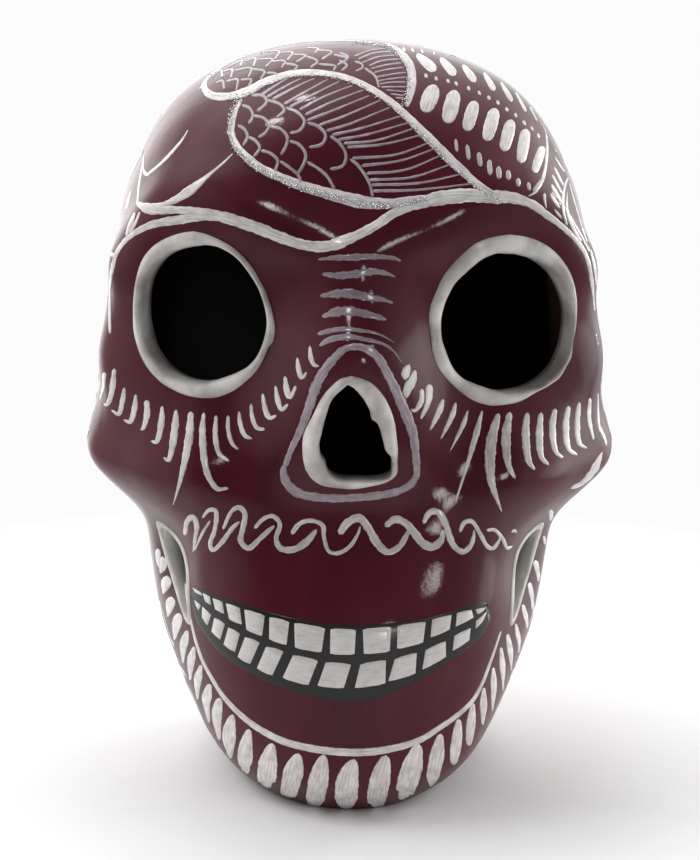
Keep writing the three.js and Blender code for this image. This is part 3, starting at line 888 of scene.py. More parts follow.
def make_world():
    """Bright all round the skull and dim before it, as in a white tent with the camera's side open."""
    world = bpy.data.worlds.new("tent")
    bpy.context.scene.world = world
    world.use_nodes = True
    tree = world.node_tree
    tree.nodes.clear()
    way = tree.nodes.new("ShaderNodeTexCoord").outputs["Generated"]
    tent = add_node(tree, "Background", Color=tent_colour(tree, way), Strength=TENT_STRENGTH)
    patches = add_node(tree, "Background", Color=(1, 1, 1), Strength=tent_patches(tree, way))
    backdrop = add_node(tree, "Background", Color=BACKDROP, Strength=1)
    light = add_shader(tree, "AddShader", tent.outputs[0], patches.outputs[0])
    seen = tree.nodes.new("ShaderNodeLightPath").outputs["Is Camera Ray"]
    shown = add_shader(tree, "MixShader", seen, light, backdrop.outputs[0])
    tree.links.new(shown, tree.nodes.new("ShaderNodeOutputWorld").inputs[0])


def floor_material():
    material, tree, shader = new_material("pale_floor")
    place = object_place(tree)
    colour = add_mix(tree, add_noise(tree, place, 60, 3), FLOOR_DARK, FLOOR_LIGHT)
    tree.links.new(colour, shader.inputs["Base Color"])
    shader.inputs["Roughness"].default_value = 0.9
    shader.inputs["Specular IOR Level"].default_value = 0.1
    away = add_operation(tree, "VectorMath", "LENGTH", place).outputs["Value"]
    clear = tree.nodes.new("ShaderNodeBsdfTransparent").outputs[0]
    shown = add_shader(tree, "MixShader", add_range(tree, away, *FLOOR_FADE), shader.outputs[0], clear)
    tree.links.new(shown, tree.nodes["Material Output"].inputs["Surface"])
    return material


def make_floor():
    """A pale table top that fades into the white behind it."""
    mesh = bpy.data.meshes.new("floor")
    aside, front, back = FLOOR_SPAN
    corners = [(-aside, front, 0), (aside, front, 0), (aside, back, 0), (-aside, back, 0)]
    mesh.from_pydata(corners, [], [(0, 1, 2, 3)])
    floor = new_object("floor", mesh)
    mesh.materials.append(floor_material())


# Painting

TREE_COLUMNS = 420
TREE_ROWS = 220
TREE_DOME_ROWS = 76
# The radius that lengths round the foot are measured at
ROUND_RADIUS = 50
# How far the points across a stroke are from its middle, in shares of its half width
STROKE_ACROSS = (-1, -0.86, -0.45, 0, 0.45, 0.86, 1)
STROKE_DEPTH = 0.4
# The ring of a stroke's section: which of those points, how far over the skin, and its share of the paint
STROKE_RING = [(0, -0.05, 0.6), (1, 0.07, 1), (2, 0.105, 1), (3, 0.115, 1), (4, 0.105, 1), (5, 0.07, 1),
               (6, -0.05, 0.6), (6, -STROKE_DEPTH, 1), (0, -STROKE_DEPTH, 1)]
# How long a stroke's round end is in half widths, and the share of the width that its very end keeps
END_LENGTH = 1.1
END_SHARE = 0.02
LEAST_WIDTH = 0.3
# How fast a stroke's width may waver along it
WAVE_PITCHES = (0.16, 0.28)
# Paint stops just short of where the skin turns out of sight
LEAST_FACING = 0.11
# How far apart the rows of a stroke are: in the photograph, in the motifs beyond it, and on the skin
STROKE_SPACING = 1.5
MOTIF_SPACING = 0.6
SKIN_SPACING = 0.45
# The size of the photograph's pixel on the skull, and how far a stroke may widen where the skin turns away
PIXEL = 0.251
WIDEST = 3
# The share of its width that a stroke keeps where one of its edges is out of sight
CUT_SHORT = 0.6
# A path on the skin has at least so many rows, and at least this distance between two of them
FEWEST_ROWS = 7
LEAST_STEP = 0.02
# How much paint a brush takes up, and how much more it may
BRUSH_LOAD = 0.92
MORE_LOAD = 0.16
FLAKE_SIZES = (0.13, 0.27)
FLAKE_HEIGHT = 0.2
FLAKE_THICKNESS = 0.05
# The width of a sheet's border as a share, its height over the skin and its share of the paint
SHEET_BORDER = 0.035
BORDER_LIFT = -0.04
BORDER_LOAD = 0.75
# Where along half a sheet its corners begin to round off
CORNER_START = 0.6
# How far the streaks' pattern runs over a sheet, and how far it may be shifted from one stroke to another
SHEET_STREAKS = (8, 6)
LONGEST_SHIFT = 500


def make_skin_tree():
    rings = skin_grid(TREE_COLUMNS, TREE_ROWS, TREE_DOME_ROWS)
    points, faces = closed_rings(rings, (0, 0, 0), (0, 0, HEIGHT))
    return BVHTree.FromPolygons(points.tolist(), faces)


SKIN_TREE = make_skin_tree()


def photo_ray(aside, down):
    """The line of sight through a spot of the photograph."""
    across = VIEW_RIGHT * (aside - PHOTO_WIDTH / 2) / FOCAL
    way = across + VIEW_UP * (PHOTO_HEIGHT / 2 - down) / FOCAL - VIEW_BACK
    return CAMERA_PLACE, way.normalized()


def level_ray(turn, rise, mirror=1, zero=0):
    """Parallel lines of sight from a turn and a rise. Spots are millimetres to the right, or to the left
    where mirror is -1, and up. Those at the height zero meet the middle axis half way up the skull."""
    back = direction(turn, rise)
    turn = math.radians(turn)
    right = Vector((math.cos(turn), math.sin(turn), 0))
    up = back.cross(right)

    def ray(aside, height):
        middle = Vector((0, 0, HEIGHT / 2))
        return middle + right * (aside * mirror) + up * (height - zero) + back * 3 * HEIGHT, -back
    return ray


def round_ray(along, height):
    """Level lines of sight toward the middle axis. Spots are millimetres round the foot, from the face to
    the right, and up."""
    turn = along / ROUND_RADIUS
    away = Vector((math.sin(turn), -math.cos(turn), 0))
    return Vector((0, 0, height)) + away * 3 * HEIGHT, -away


def sampled(rows, at, places):
    """Rows that stand at growing numbers, read off at other numbers."""
    return np.stack([np.interp(places, at, rows[:, k]) for k in range(rows.shape[1])], -1)


def spread_out(rows, places):
    """Rows read off at shares of their whole run."""
    return sampled(rows, np.linspace(0, 1, len(rows)), places)


def steps_along(path):
    """Unit vectors along a flat path."""
    away = np.gradient(path, axis=0)
    return away / np.maximum(np.linalg.norm(away, axis=1, keepdims=True), 1e-6)


class Paint:
    """Brush strokes gathered into one piece: closed ribbons that lie on the skin."""

    def __init__(self, seed, ray=photo_ray, spacing=STROKE_SPACING):
        self.points, self.faces, self.spots, self.load = [], [], [], []
        self.random = random.Random(seed)
        self.ray, self.spacing = ray, spacing
        self.from_photo = ray is photo_ray

    def cast(self, aside, height):
        start, way = self.ray(aside, height)
        place, normal, _, _ = SKIN_TREE.ray_cast(start, way)
        return (place, normal) if place is not None and normal.dot(way) < -LEAST_FACING else None

    def section(self, middle, edge, half):
        """Places and normals across a stroke, from its left edge to its right. Where the skin turns away
        the stroke gets no wider than a brush would leave it."""
        centre = self.cast(*middle)
        if centre is None:
            return None
        most = WIDEST * half * (PIXEL if self.from_photo else 1)
        ends = [self.cast(*(middle + edge * half * way)) for way in (-1, 1)]
        reach = max([(end[0] - centre[0]).length for end in ends if end] or [most])
        if reach > most or None in ends:
            half = half * min(1, most / max(reach, 1e-6)) * (CUT_SHORT if None in ends else 1)
        found = {3: centre}
        for order in ((2, 1, 0), (4, 5, 6)):
            last = centre
            for k in order:
                last = self.cast(*(middle + edge * STROKE_ACROSS[k] * half)) or last
                found[k] = last
        return [found[k] for k in range(7)]

    def evened(self, path):
        """The path with its rows evenly spaced on the skin rather than in the picture."""
        fine = spread_out(path, np.linspace(0, 1, 4 * len(path)))
        hits = [self.cast(*row[:2]) for row in fine]
        steps = [(b[0] - a[0]).length if a and b else 0 for a, b in zip(hits, hits[1:])]
        at = np.concatenate([[0], np.cumsum(np.maximum(steps, LEAST_STEP))])
        count = max(FEWEST_ROWS, int(at[-1] / SKIN_SPACING))
        return sampled(fine, at, np.linspace(0, at[-1], count))

    def add_point(self, place, spot, load):
        self.points.append(place)
        self.spots.append(spot)
        self.load.append(load)

    def add_ribbon(self, sections, halves, loads):
        base, ring = len(self.points), len(STROKE_RING)
        along = 0
        shift = self.random.uniform(0, LONGEST_SHIFT)
        for i, (section, half, load) in enumerate(zip(sections, halves, loads)):
            if i:
                along += (section[3][0] - sections[i - 1][3][0]).length
            for k, lift, share in STROKE_RING:
                place, normal = section[k]
                self.add_point(place + normal * lift, (along + shift, STROKE_ACROSS[k] * half), load * share)
        last = base + ring * (len(sections) - 1)
        for here in range(base, last, ring):
            there = here + ring
            self.faces += [(here + k, here + (k + 1) % ring, there + (k + 1) % ring, there + k)
                           for k in range(ring)]
        self.faces.append(tuple(base + k for k in reversed(range(ring))))
        self.faces.append(tuple(last + k for k in range(ring)))

    def half_widths(self, path, wobble):
        """Half a stroke's width all along: round at both ends and a little uneven between them."""
        reach = np.concatenate([[0], np.cumsum(np.linalg.norm(np.diff(path[:, :2], axis=0), axis=1))])
        half = np.maximum(path[:, 2], LEAST_WIDTH) / 2
        size = np.minimum(half * END_LENGTH, reach[-1] / 2)
        ends = [1 - np.clip(far / size, 0, 1) for far in (reach, reach[-1] - reach)]
        first, last = (np.sqrt(np.clip(1 - end ** 2, END_SHARE, 1)) for end in ends)
        phase = self.random.uniform(0, ROUND)
        pitch = self.random.uniform(*WAVE_PITCHES) * (1 if self.from_photo else ENLARGED)
        waves = wobble * np.sin(reach * pitch + phase) * np.sin(reach * pitch * 2.7 + phase * 3)
        return half * (first * last) * (1 + waves)

    def stroke(self, spots, width=None, load=1, fade=0.2, wobble=0.12, spacing=None):
        """One stroke through spots. A width holds all along unless the spots carry their own."""
        rows = [(*spot[:2], spot[2] if len(spot) > 2 else width) for spot in spots]
        path = self.evened(rounded_path(rows, spacing or self.spacing))
        away = steps_along(path[:, :2])
        edges = np.stack([-away[:, 1], away[:, 0]], -1)
        half = self.half_widths(path, wobble)
        thinning = 1 - fade * np.linspace(0, 1, len(path))
        loads = load * thinning * (BRUSH_LOAD + MORE_LOAD * self.random.random())
        sections = [self.section(*row) for row in zip(path[:, :2], edges, half)]
        kept = [k for k, section in enumerate(sections) if section]
        if len(kept) > 1:
            scale = ENLARGED if self.from_photo else 1
            self.add_ribbon([sections[k] for k in kept], half[kept] / scale, loads[kept])

    def strokes(self, part, lines, **how):
        """Strokes through lines of spots that were read off a part of the photograph."""
        for line in lines:
            self.stroke(in_photo(part, line), **how)

    def dab(self, spot, width, height, lean=0, load=1):
        """A short full stroke, leaning by an angle from upright."""
        lean = math.radians(lean)
        reach = np.array([math.sin(lean), -math.cos(lean)]) * height / 2
        middle = np.array(spot)
        self.stroke([tuple(middle - reach), tuple(middle), tuple(middle + reach)], width, load=load,
                    spacing=min(self.spacing, height / 5))

    def finish(self, name, material):
        piece = mesh_object(name, np.array([point[:] for point in self.points]), self.faces)
        mesh = piece.data
        corners = np.empty(len(mesh.loops), int)
        mesh.loops.foreach_get("vertex_index", corners)
        layer = mesh.uv_layers.new(name="stroke")
        layer.data.foreach_set("uv", np.array(self.spots)[corners].ravel())
        amount = mesh.attributes.new("load", "FLOAT", "POINT")
        amount.data.foreach_set("value", self.load)
        turn_outward(mesh)
        dress(piece, material)


def add_flake(paint, place, normal):
    """A grain of glitter: a thin eight-sided flake, tilted at random."""
    draw = paint.random
    axis = (normal + Vector([draw.gauss(0, 0.3) for _ in range(3)])).normalized()
    aside = axis.orthogonal().normalized()
    size = draw.uniform(*FLAKE_SIZES)
    centre = place + normal * FLAKE_HEIGHT
    base = len(paint.points)
    turn = draw.uniform(0, 3)
    for k in range(4):
        angle = turn + k * math.pi / 2
        paint.points.append(centre + (aside * math.cos(angle) + axis.cross(aside) * math.sin(angle)) * size)
        a, b = base + k, base + (k + 1) % 4
        paint.faces += [(a, b, base + 4), (b, a, base + 5)]
    paint.points += [centre + axis * FLAKE_THICKNESS, centre - axis * FLAKE_THICKNESS]
    paint.spots += [(turn, size)] * 6
    paint.load += [draw.random()] * 6


def sprinkle(paint, spots, count, offset, spread):
    """Glitter strewn along a line, at an offset to its left."""
    path = rounded_path([spot[:2] for spot in spots], 1)
    away = steps_along(path)
    for _ in range(count):
        i = paint.random.randrange(len(path))
        shift = offset + paint.random.gauss(0, spread)
        hit = paint.cast(path[i, 0] - away[i, 1] * shift, path[i, 1] + away[i, 0] * shift)
        if hit:
            add_flake(paint, *hit)


def paint_material(name, thin, full, streak=1, rough=0.42, coat=0.6):
    """Brushed paint: streaks run along each stroke, and it thins toward the stroke's end."""
    material, tree, shader = new_material(name)
    spots = tree.nodes.new("ShaderNodeUVMap")
    spots.uv_map = "stroke"
    load = tree.nodes.new("ShaderNodeAttribute")
    load.attribute_name = "load"
    streaks = add_noise(tree, spots.outputs["UV"], 1, 3, (0.22, 3.2, 1), 0.6)
    patches = add_noise(tree, spots.outputs["UV"], 1, 2, (0.28, 0.5, 1))
    cover = add_math(tree, "MULTIPLY", add_range(tree, streaks, 0.3, 0.6, 1 - 0.55 * streak, 1),
                     add_range(tree, patches, 0.3, 0.55, 1 - 0.35 * streak, 1))
    cover = add_math(tree, "MULTIPLY", cover, load.outputs["Fac"])
    tree.links.new(add_mix(tree, cover, thin, full), shader.inputs["Base Color"])
    add_bump(tree, shader, streaks, 0.35, 0.0002)
    varnish(shader, rough, coat, 0.12)
    return material


def glitter_material():
    material, _, shader = new_material("silver_glitter")
    shader.inputs["Base Color"].default_value = (0.78, 0.78, 0.8, 1)
    shader.inputs["Metallic"].default_value = 1
    shader.inputs["Roughness"].default_value = 0.22
    return material


WHITE = paint_material("white_brushwork", (0.26, 0.19, 0.22), (0.86, 0.83, 0.815))
LILAC = paint_material("thin_lilac_brushwork", (0.13, 0.08, 0.105), (0.52, 0.47, 0.5), 1.2)
BLACK = paint_material("black_brushwork", (0.012, 0.009, 0.009), (0.006, 0.005, 0.006), 0.5, 0.5, 0.25)
GLITTER = glitter_material()
TOOTH = paint_material("tooth_paint", (0.42, 0.375, 0.37), (0.78, 0.745, 0.72), 0.8)


def sheet_shares(count):
    """Shares of a sheet's width, with a narrow step at each end where the paint's edge drops to the skin."""
    shares = np.linspace(0, 1, count + 1)
    shares[1], shares[-2] = SHEET_BORDER, 1 - SHEET_BORDER
    return shares


def sheet_grid(paint, top, bottom, columns, rows, corner):
    """Places and normals of a sheet, column by column. Each column runs from its top line to its bottom."""
    at = sheet_shares(columns)
    upper, lower = (spread_out(rounded_path(line, 1), at) for line in (top, bottom))
    inset = corner * np.maximum(0, np.abs(2 * at - 1) - CORNER_START) ** 2 / (1 - CORNER_START) ** 2
    grid = []
    for i in range(columns + 1):
        line = []
        for share in inset[i] + (1 - 2 * inset[i]) * sheet_shares(rows):
            hit = paint.cast(*(upper[i] * (1 - share) + lower[i] * share))
            line.append(hit or (line[-1] if line else grid[-1][0]))
        grid.append(line)
    return grid


def sheet_faces(base, columns, rows):
    """The faces of a closed sheet: its top, its underside and the rim between them."""
    width = rows + 1
    back = base + (columns + 1) * width
    faces = []
    for i in range(columns):
        for j in range(rows):
            a, b = base + i * width + j, back + i * width + j
            faces += [(a, a + 1, a + width + 1, a + width), (b, b + width, b + width + 1, b + 1)]
    loop = ([(i, 0) for i in range(columns)] + [(columns, j) for j in range(rows)]
            + [(i, rows) for i in range(columns, 0, -1)] + [(0, j) for j in range(rows, 0, -1)])
    for (i, j), (m, n) in zip(loop, loop[1:] + loop[:1]):
        a, b = i * width + j, m * width + n
        faces.append((base + a, base + b, back + b, back + a))
    return faces


def add_sheet(paint, top, bottom, columns, rows, lift, load=1, corner=0):
    """A thin closed patch of paint between two lines of spots that run the same way."""
    grid = sheet_grid(paint, top, bottom, columns, rows, corner)
    base = len(paint.points)
    shift = paint.random.uniform(0, LONGEST_SHIFT)
    for under in (False, True):
        for i, line in enumerate(grid):
            for j, (place, normal) in enumerate(line):
                edge = i in (0, columns) or j in (0, rows)
                raised = -STROKE_DEPTH if under else (BORDER_LIFT if edge else lift)
                spot = (shift + SHEET_STREAKS[0] * i / columns, SHEET_STREAKS[1] * j / rows + shift)
                paint.add_point(place + normal * raised, spot, load * (BORDER_LOAD if edge else 1))
    paint.faces += sheet_faces(base, columns, rows)


# What the photograph shows of the painting. Each stroke is a row of spots, mostly with the stroke's width
# there. The spots are read off the enlarged parts that the painters name. Those of the bridge and of the
# jaw's line are the photograph's own.

LEFT_EYE_STROKES = [
    [(128, -40, 22), (122, 40, 26), (105, 105, 14)],
    [(180, -60, 20), (172, 20, 32), (160, 90, 26), (142, 130, 20), (125, 125, 10)],
    [(232, 40, 16), (222, 110, 28), (202, 178, 22), (165, 158, 10)],
    [(292, 75, 16), (285, 150, 32), (262, 220, 24), (230, 208, 10)],
    [(348, 105, 30), (350, 180, 34), (328, 258, 18), (316, 258, 8)],
    [(430, 135, 16), (425, 220, 34), (402, 322, 26), (372, 320, 10)],
    [(503, 155, 20), (495, 260, 42), (465, 418, 24), (435, 405, 10)],
    [(580, 165, 30), (570, 300, 46), (530, 500, 26), (487, 655, 3)],
    [(648, 170, 16), (640, 280, 38), (660, 470, 34), (715, 568, 26), (775, 565, 14)],
    [(712, 185, 18), (708, 290, 30), (728, 385, 26), (780, 425, 18)],
    [(775, 185, 16), (775, 260, 24), (795, 330, 22), (828, 365, 14)],
    [(832, 165, 14), (838, 230, 26), (862, 290, 24), (900, 308, 14)],
    [(895, 125, 14), (900, 190, 24), (925, 250, 24), (968, 258, 14)],
    [(955, 70, 12), (965, 140, 28), (990, 198, 26), (1028, 185, 12)],
    [(1022, 30, 14), (1035, 110, 30), (1055, 155, 24), (1088, 125, 12)],
    [(1072, -20, 16), (1080, 50, 34), (1097, 92, 26), (1130, 30, 14)],
    [(1136, -118, 12), (1142, -60, 28), (1160, -10, 24), (1186, -42, 10)],
    [(1202, -180, 12), (1206, -120, 26), (1222, -80, 24), (1250, -72, 10)],
]
RIGHT_EYE_STROKES = [
    [(362, -82, 22), (345, -40, 46), (340, 0, 30)],
    [(392, -54, 20), (380, 0, 44), (352, 50, 50), (345, 95, 20)],
    [(428, 45, 22), (425, 110, 30), (390, 162, 20), (370, 150, 8)],
    [(468, 20, 40), (462, 110, 34), (422, 205, 12)], [(540, 98, 18), (520, 160, 34), (470, 262, 12)],
    [(605, 118, 14), (585, 190, 30), (525, 310, 8)], [(668, 158, 10), (645, 230, 26), (575, 372, 5)],
    [(742, 160, 10), (715, 270, 34), (660, 460, 18), (605, 632, 10)],
    [(828, 175, 30), (790, 330, 60), (790, 520, 44), (845, 690, 4)],
    [(888, 168, 30), (868, 290, 52), (880, 440, 34), (915, 515, 14)],
    [(980, 170, 24), (970, 270, 44), (985, 420, 34), (1018, 470, 12)],
    [(1050, 170, 24), (1042, 280, 42), (1052, 400, 30), (1090, 445, 12)],
    [(1125, 150, 28), (1110, 240, 38), (1125, 370, 28), (1165, 408, 12)],
    [(1195, 135, 24), (1180, 240, 38), (1195, 360, 28), (1240, 392, 12)],
    [(1250, 115, 20), (1240, 230, 32), (1250, 330, 26), (1290, 358, 12)],
    [(1306, 95, 18), (1302, 200, 24), (1325, 315, 12)], [(1348, 70, 16), (1350, 200, 16), (1358, 275, 6)],
    [(1370, 375, 6), (1330, 465, 50), (1270, 535, 52), (1205, 568, 8)],
    [(1388, 440, 8), (1350, 530, 30), (1265, 590, 6)],
]
LEFT_SCROLL = [
    [(548, 810, 22), (560, 740, 28), (590, 715, 30), (610, 760, 28), (602, 830, 20), (592, 900, 8)],
    [(600, 890, 8), (640, 800, 16), (680, 735, 12)],
    [(640, 720, 14), (675, 680, 22), (710, 685, 26), (705, 780, 24), (680, 855, 24), (695, 890, 22),
     (740, 850, 26), (800, 770, 24), (835, 740, 12)],
    [(748, 780, 18), (790, 690, 22), (830, 665, 26), (862, 700, 30), (850, 780, 30), (840, 840, 30),
     (880, 880, 30), (940, 830, 28), (1000, 775, 22), (1018, 762, 10)],
    [(912, 775, 20), (960, 725, 22), (1010, 712, 24), (1045, 755, 26), (1025, 830, 26), (1050, 880, 34),
     (1120, 885, 36), (1190, 840, 40), (1238, 780, 16)],
    [(1105, 805, 24), (1150, 750, 26), (1210, 735, 24), (1268, 760, 26), (1275, 820, 22), (1300, 895, 20),
     (1350, 905, 22), (1410, 870, 22), (1455, 800, 16), (1465, 762, 8)],
    [(1355, 805, 40), (1400, 745, 44), (1460, 722, 46), (1505, 770, 42), (1555, 855, 46), (1610, 900, 36),
     (1670, 870, 34), (1705, 815, 28), (1722, 780, 20)],
]
RIGHT_SCROLL = [
    [(235, 765, 30), (290, 728, 42), (345, 750, 40), (390, 800, 44), (435, 855, 46), (485, 872, 46),
     (530, 835, 36), (540, 780, 24)],
    [(435, 750, 26), (470, 692, 34), (515, 692, 38), (555, 760, 34), (590, 860, 34), (640, 898, 30),
     (680, 870, 28), (698, 820, 20), (700, 780, 8)],
    [(625, 795, 22), (650, 745, 24), (690, 740, 24), (730, 800, 22), (770, 870, 24), (800, 880, 22),
     (830, 840, 16), (838, 815, 8)],
    [(765, 785, 16), (810, 785, 20), (850, 830, 20), (875, 880, 18), (900, 868, 8)],
    [(895, 795, 14), (915, 785, 16), (920, 800, 8)],
]
NOSE_OUTLINE = [
    [(130, 1190, 50), (180, 1050, 52), (238, 930, 62), (298, 790, 74), (350, 640, 84), (400, 490, 92),
     (475, 350, 84), (565, 240, 74), (650, 165, 62), (750, 145, 60), (855, 170, 74), (945, 245, 78),
     (1015, 365, 78), (1085, 500, 84), (1145, 640, 92), (1205, 780, 94), (1250, 920, 84),
     (1266, 1050, 72), (1278, 1180, 66), (1280, 1290, 50)],
    [(128, 1170, 46), (116, 1240, 62), (145, 1330, 84), (225, 1410, 84), (350, 1448, 78), (550, 1466, 74),
     (750, 1460, 72), (950, 1440, 72), (1100, 1410, 68), (1220, 1350, 64), (1275, 1270, 60),
     (1288, 1190, 46)],
]
NOSE_ARCS = [
    [(430, 140, 30), (500, 92, 50), (600, 66, 60), (700, 60, 50), (800, 76, 40), (900, 96, 34),
     (1000, 128, 26), (1080, 190, 16), (1150, 290, 8)],
    [(415, 36, 34), (500, 12, 46), (640, -8, 46), (780, 4, 36), (900, 22, 24), (1000, 60, 16),
     (1080, 110, 8)],
]
BRIDGE_ARCS = [
    [(318, 259.5, 2), (333, 258, 5), (352, 257.5, 7), (372, 256.5, 6), (393, 258, 4), (401, 261, 2)],
    [(322, 274, 3), (338, 275.5, 7), (356, 274, 8), (374, 271.5, 7), (388, 274, 4), (395, 277, 2)],
    [(320, 296, 3), (334, 294, 8), (350, 293.5, 10), (368, 297, 8), (382, 299.5, 5), (393, 303, 2)],
    [(322, 317, 3), (334, 312.5, 9), (348, 311, 10), (364, 313.5, 8), (378, 317, 6), (386, 320, 3)],
]
BROW_LEFT = [
    (1500, 1154, 50), (1430, 1176, 52), (1350, 1185, 52), (1250, 1170, 48), (1150, 1135, 52),
    (1050, 1095, 54), (950, 1060, 54), (850, 1030, 50), (760, 1010, 46), (700, 1000, 40), (600, 992, 36),
    (520, 992, 46), (450, 982, 50), (400, 955, 14),
]
BROW_LEFT_LOWER = [
    (860, 1048, 10), (760, 1032, 30), (690, 1035, 40), (620, 1045, 44), (550, 1055, 40), (480, 1070, 36),
    (420, 1096, 30), (370, 1127, 26), (330, 1166, 22), (300, 1210, 20), (280, 1270, 18), (266, 1350, 16),
    (260, 1500, 14), (262, 1640, 12),
]
BROW_RIGHT = [
    (-60, 1183, 50), (0, 1160, 50), (60, 1138, 48), (130, 1105, 44), (200, 1065, 44), (280, 1010, 46),
    (350, 978, 50), (420, 955, 56), (500, 935, 66), (600, 922, 70), (700, 917, 66), (800, 925, 62),
    (880, 925, 56), (960, 945, 44), (1020, 972, 40), (1080, 1018, 34), (1140, 1062, 28), (1200, 1115, 24),
    (1250, 1170, 22), (1288, 1235, 20), (1308, 1310, 18), (1320, 1400, 16), (1330, 1520, 12),
]
LEFT_BRANCHES = [
    [(405, 965, 14), (470, 975, 30), (540, 965, 26), (610, 935, 34), (680, 890, 46), (730, 850, 30),
     (790, 800, 14), (850, 750, 10), (905, 698, 5)],
    [(670, 575, 5), (640, 625, 9), (590, 685, 14), (540, 738, 13), (490, 782, 12), (452, 808, 16),
     (436, 775, 10), (442, 690, 7), (462, 600, 5)],
    [(404, 965, 12), (412, 870, 14), (428, 780, 14), (444, 690, 8)],
]
LEFT_FLOWER = [
    [(372, 895, 20), (345, 980, 60), (305, 1070, 80), (285, 1150, 24)],
    [(392, 1005, 10), (372, 1060, 22), (345, 1130, 10)],
    [(418, 1002, 8), (395, 1060, 14), (362, 1120, 8)],
    [(262, 1165, 10), (258, 1200, 16), (288, 1236, 14), (306, 1205, 8)],
    [(330, 880, 10), (295, 960, 30), (262, 1060, 20)],
    [(250, 1260, 10), (240, 1340, 22), (240, 1440, 22), (246, 1520, 10)],
]
FRONT_LOBE_LOW = [
    (950, 412, 14), (920, 470, 20), (900, 535, 26), (898, 600, 30), (928, 665, 32), (982, 722, 36),
    (1050, 775, 38), (1150, 822, 40), (1250, 862, 44), (1350, 893, 48), (1450, 920, 54), (1560, 948, 60),
    (1640, 958, 52), (1740, 958, 42), (1840, 940, 34), (1920, 925, 20),
]
FRONT_LOBE_HIGH = [
    (870, 402, 22), (930, 388, 36), (1000, 362, 36), (1060, 328, 34), (1130, 302, 32), (1200, 282, 30),
    (1300, 273, 28), (1400, 280, 26), (1500, 302, 26), (1600, 345, 28), (1680, 393, 30), (1750, 445, 32),
    (1810, 500, 34), (1870, 560, 38), (1930, 620, 42), (1990, 680, 42), (2050, 740, 42), (2110, 795, 38),
    (2170, 848, 32), (2250, 900, 24), (2330, 935, 14),
]
REAR_LOBE = [
    (930, 392, 30), (865, 400, 34), (800, 396, 34), (762, 370, 30), (755, 335, 22), (785, 290, 14),
    (830, 250, 12), (900, 205, 10), (970, 172, 8), (1060, 145, 7),
]
REAR_LOBE_RIGHT = [
    (60, 98, 8), (180, 106, 16), (250, 125, 24), (300, 155, 32), (340, 197, 38), (368, 245, 40),
    (376, 300, 42), (372, 360, 38), (360, 415, 28), (348, 455, 14),
]
FRONT_SCALES = [
    [(950, 445), (992, 462), (1008, 502), (985, 545)], [(930, 550), (965, 572), (980, 612), (955, 660)],
    [(1010, 500), (1062, 512), (1094, 550), (1072, 592), (1035, 615)],
    [(985, 610), (1026, 635), (1044, 670), (1012, 716)],
    [(1095, 556), (1150, 568), (1188, 612), (1180, 662), (1155, 706)],
    [(1050, 682), (1100, 697), (1138, 736), (1122, 795)],
    [(1000, 395), (1060, 395), (1080, 430), (1030, 478)],
    [(1085, 418), (1150, 440), (1172, 475), (1130, 512)],
    [(1180, 457), (1240, 482), (1278, 530), (1252, 578), (1200, 592)],
    [(1200, 632), (1250, 652), (1284, 702), (1270, 760), (1240, 806)],
    [(1150, 737), (1200, 772), (1245, 812), (1260, 852)],
    [(1292, 537), (1350, 557), (1388, 602), (1368, 650), (1300, 666)],
    [(1292, 742), (1350, 777), (1400, 822), (1436, 886)],
    [(1412, 607), (1460, 642), (1494, 702), (1478, 762), (1410, 780)],
    [(1516, 727), (1550, 752), (1584, 795), (1612, 840), (1626, 880), (1634, 925)],
]
FRONT_FAN = [
    [(1048, 396), (1120, 347), (1200, 300)], [(1080, 406), (1170, 352), (1262, 305)],
    [(1110, 416), (1220, 357), (1332, 305)], [(1170, 441), (1290, 372), (1402, 310)],
    [(1200, 456), (1330, 387), (1462, 322)], [(1250, 471), (1380, 402), (1532, 342)],
    [(1280, 496), (1420, 430), (1590, 365)], [(1290, 526), (1430, 472), (1620, 395)],
    [(1350, 552), (1480, 505), (1680, 418)], [(1390, 580), (1510, 545), (1730, 455)],
    [(1420, 602), (1560, 570), (1790, 500)], [(1452, 627), (1600, 600), (1830, 535)],
    [(1482, 645), (1650, 630), (1870, 560)], [(1500, 665), (1700, 648), (1910, 595)],
    [(1528, 722), (1750, 705), (1960, 630)], [(1575, 762), (1780, 735), (1980, 665)],
    [(1602, 802), (1800, 784), (2010, 700)], [(1616, 836), (1840, 822), (2060, 748)],
    [(1624, 862), (1880, 852), (2120, 800)], [(1634, 894), (1870, 888), (2188, 852)],
]
REAR_SCALES = [
    [(812, 332), (850, 318), (858, 362)], [(868, 322), (928, 312), (922, 370)],
    [(944, 314), (1000, 312), (985, 352)], [(790, 302), (840, 264), (850, 300)],
    [(850, 272), (900, 260), (893, 305)], [(912, 264), (1000, 253), (985, 300)],
    [(1004, 256), (1070, 270), (1048, 310)], [(1080, 276), (1130, 281), (1133, 302)],
    [(880, 247), (950, 213), (943, 242)], [(964, 217), (1022, 201), (1010, 245)],
    [(1030, 207), (1110, 206), (1074, 247)], [(1100, 217), (1176, 216), (1158, 252)],
    [(1176, 227), (1240, 241), (1222, 267)], [(940, 205), (1000, 182), (1060, 172)],
    [(1070, 167), (1146, 166), (1122, 207)], [(1150, 171), (1216, 171), (1188, 212)],
    [(1220, 181), (1286, 186), (1234, 222)], [(1290, 191), (1346, 216), (1308, 251)],
    [(1350, 231), (1440, 241), (1428, 266)], [(1290, 146), (1350, 151), (1330, 175)],
    [(1334, 157), (1420, 167), (1368, 207)], [(1430, 181), (1500, 201), (1448, 237)],
    [(1460, 210), (1500, 236), (1470, 268)], [(1462, 172), (1506, 192), (1490, 214)],
    [(1540, 217), (1575, 228), (1583, 248), (1545, 270)], [(1594, 251), (1650, 297), (1668, 355)],
]
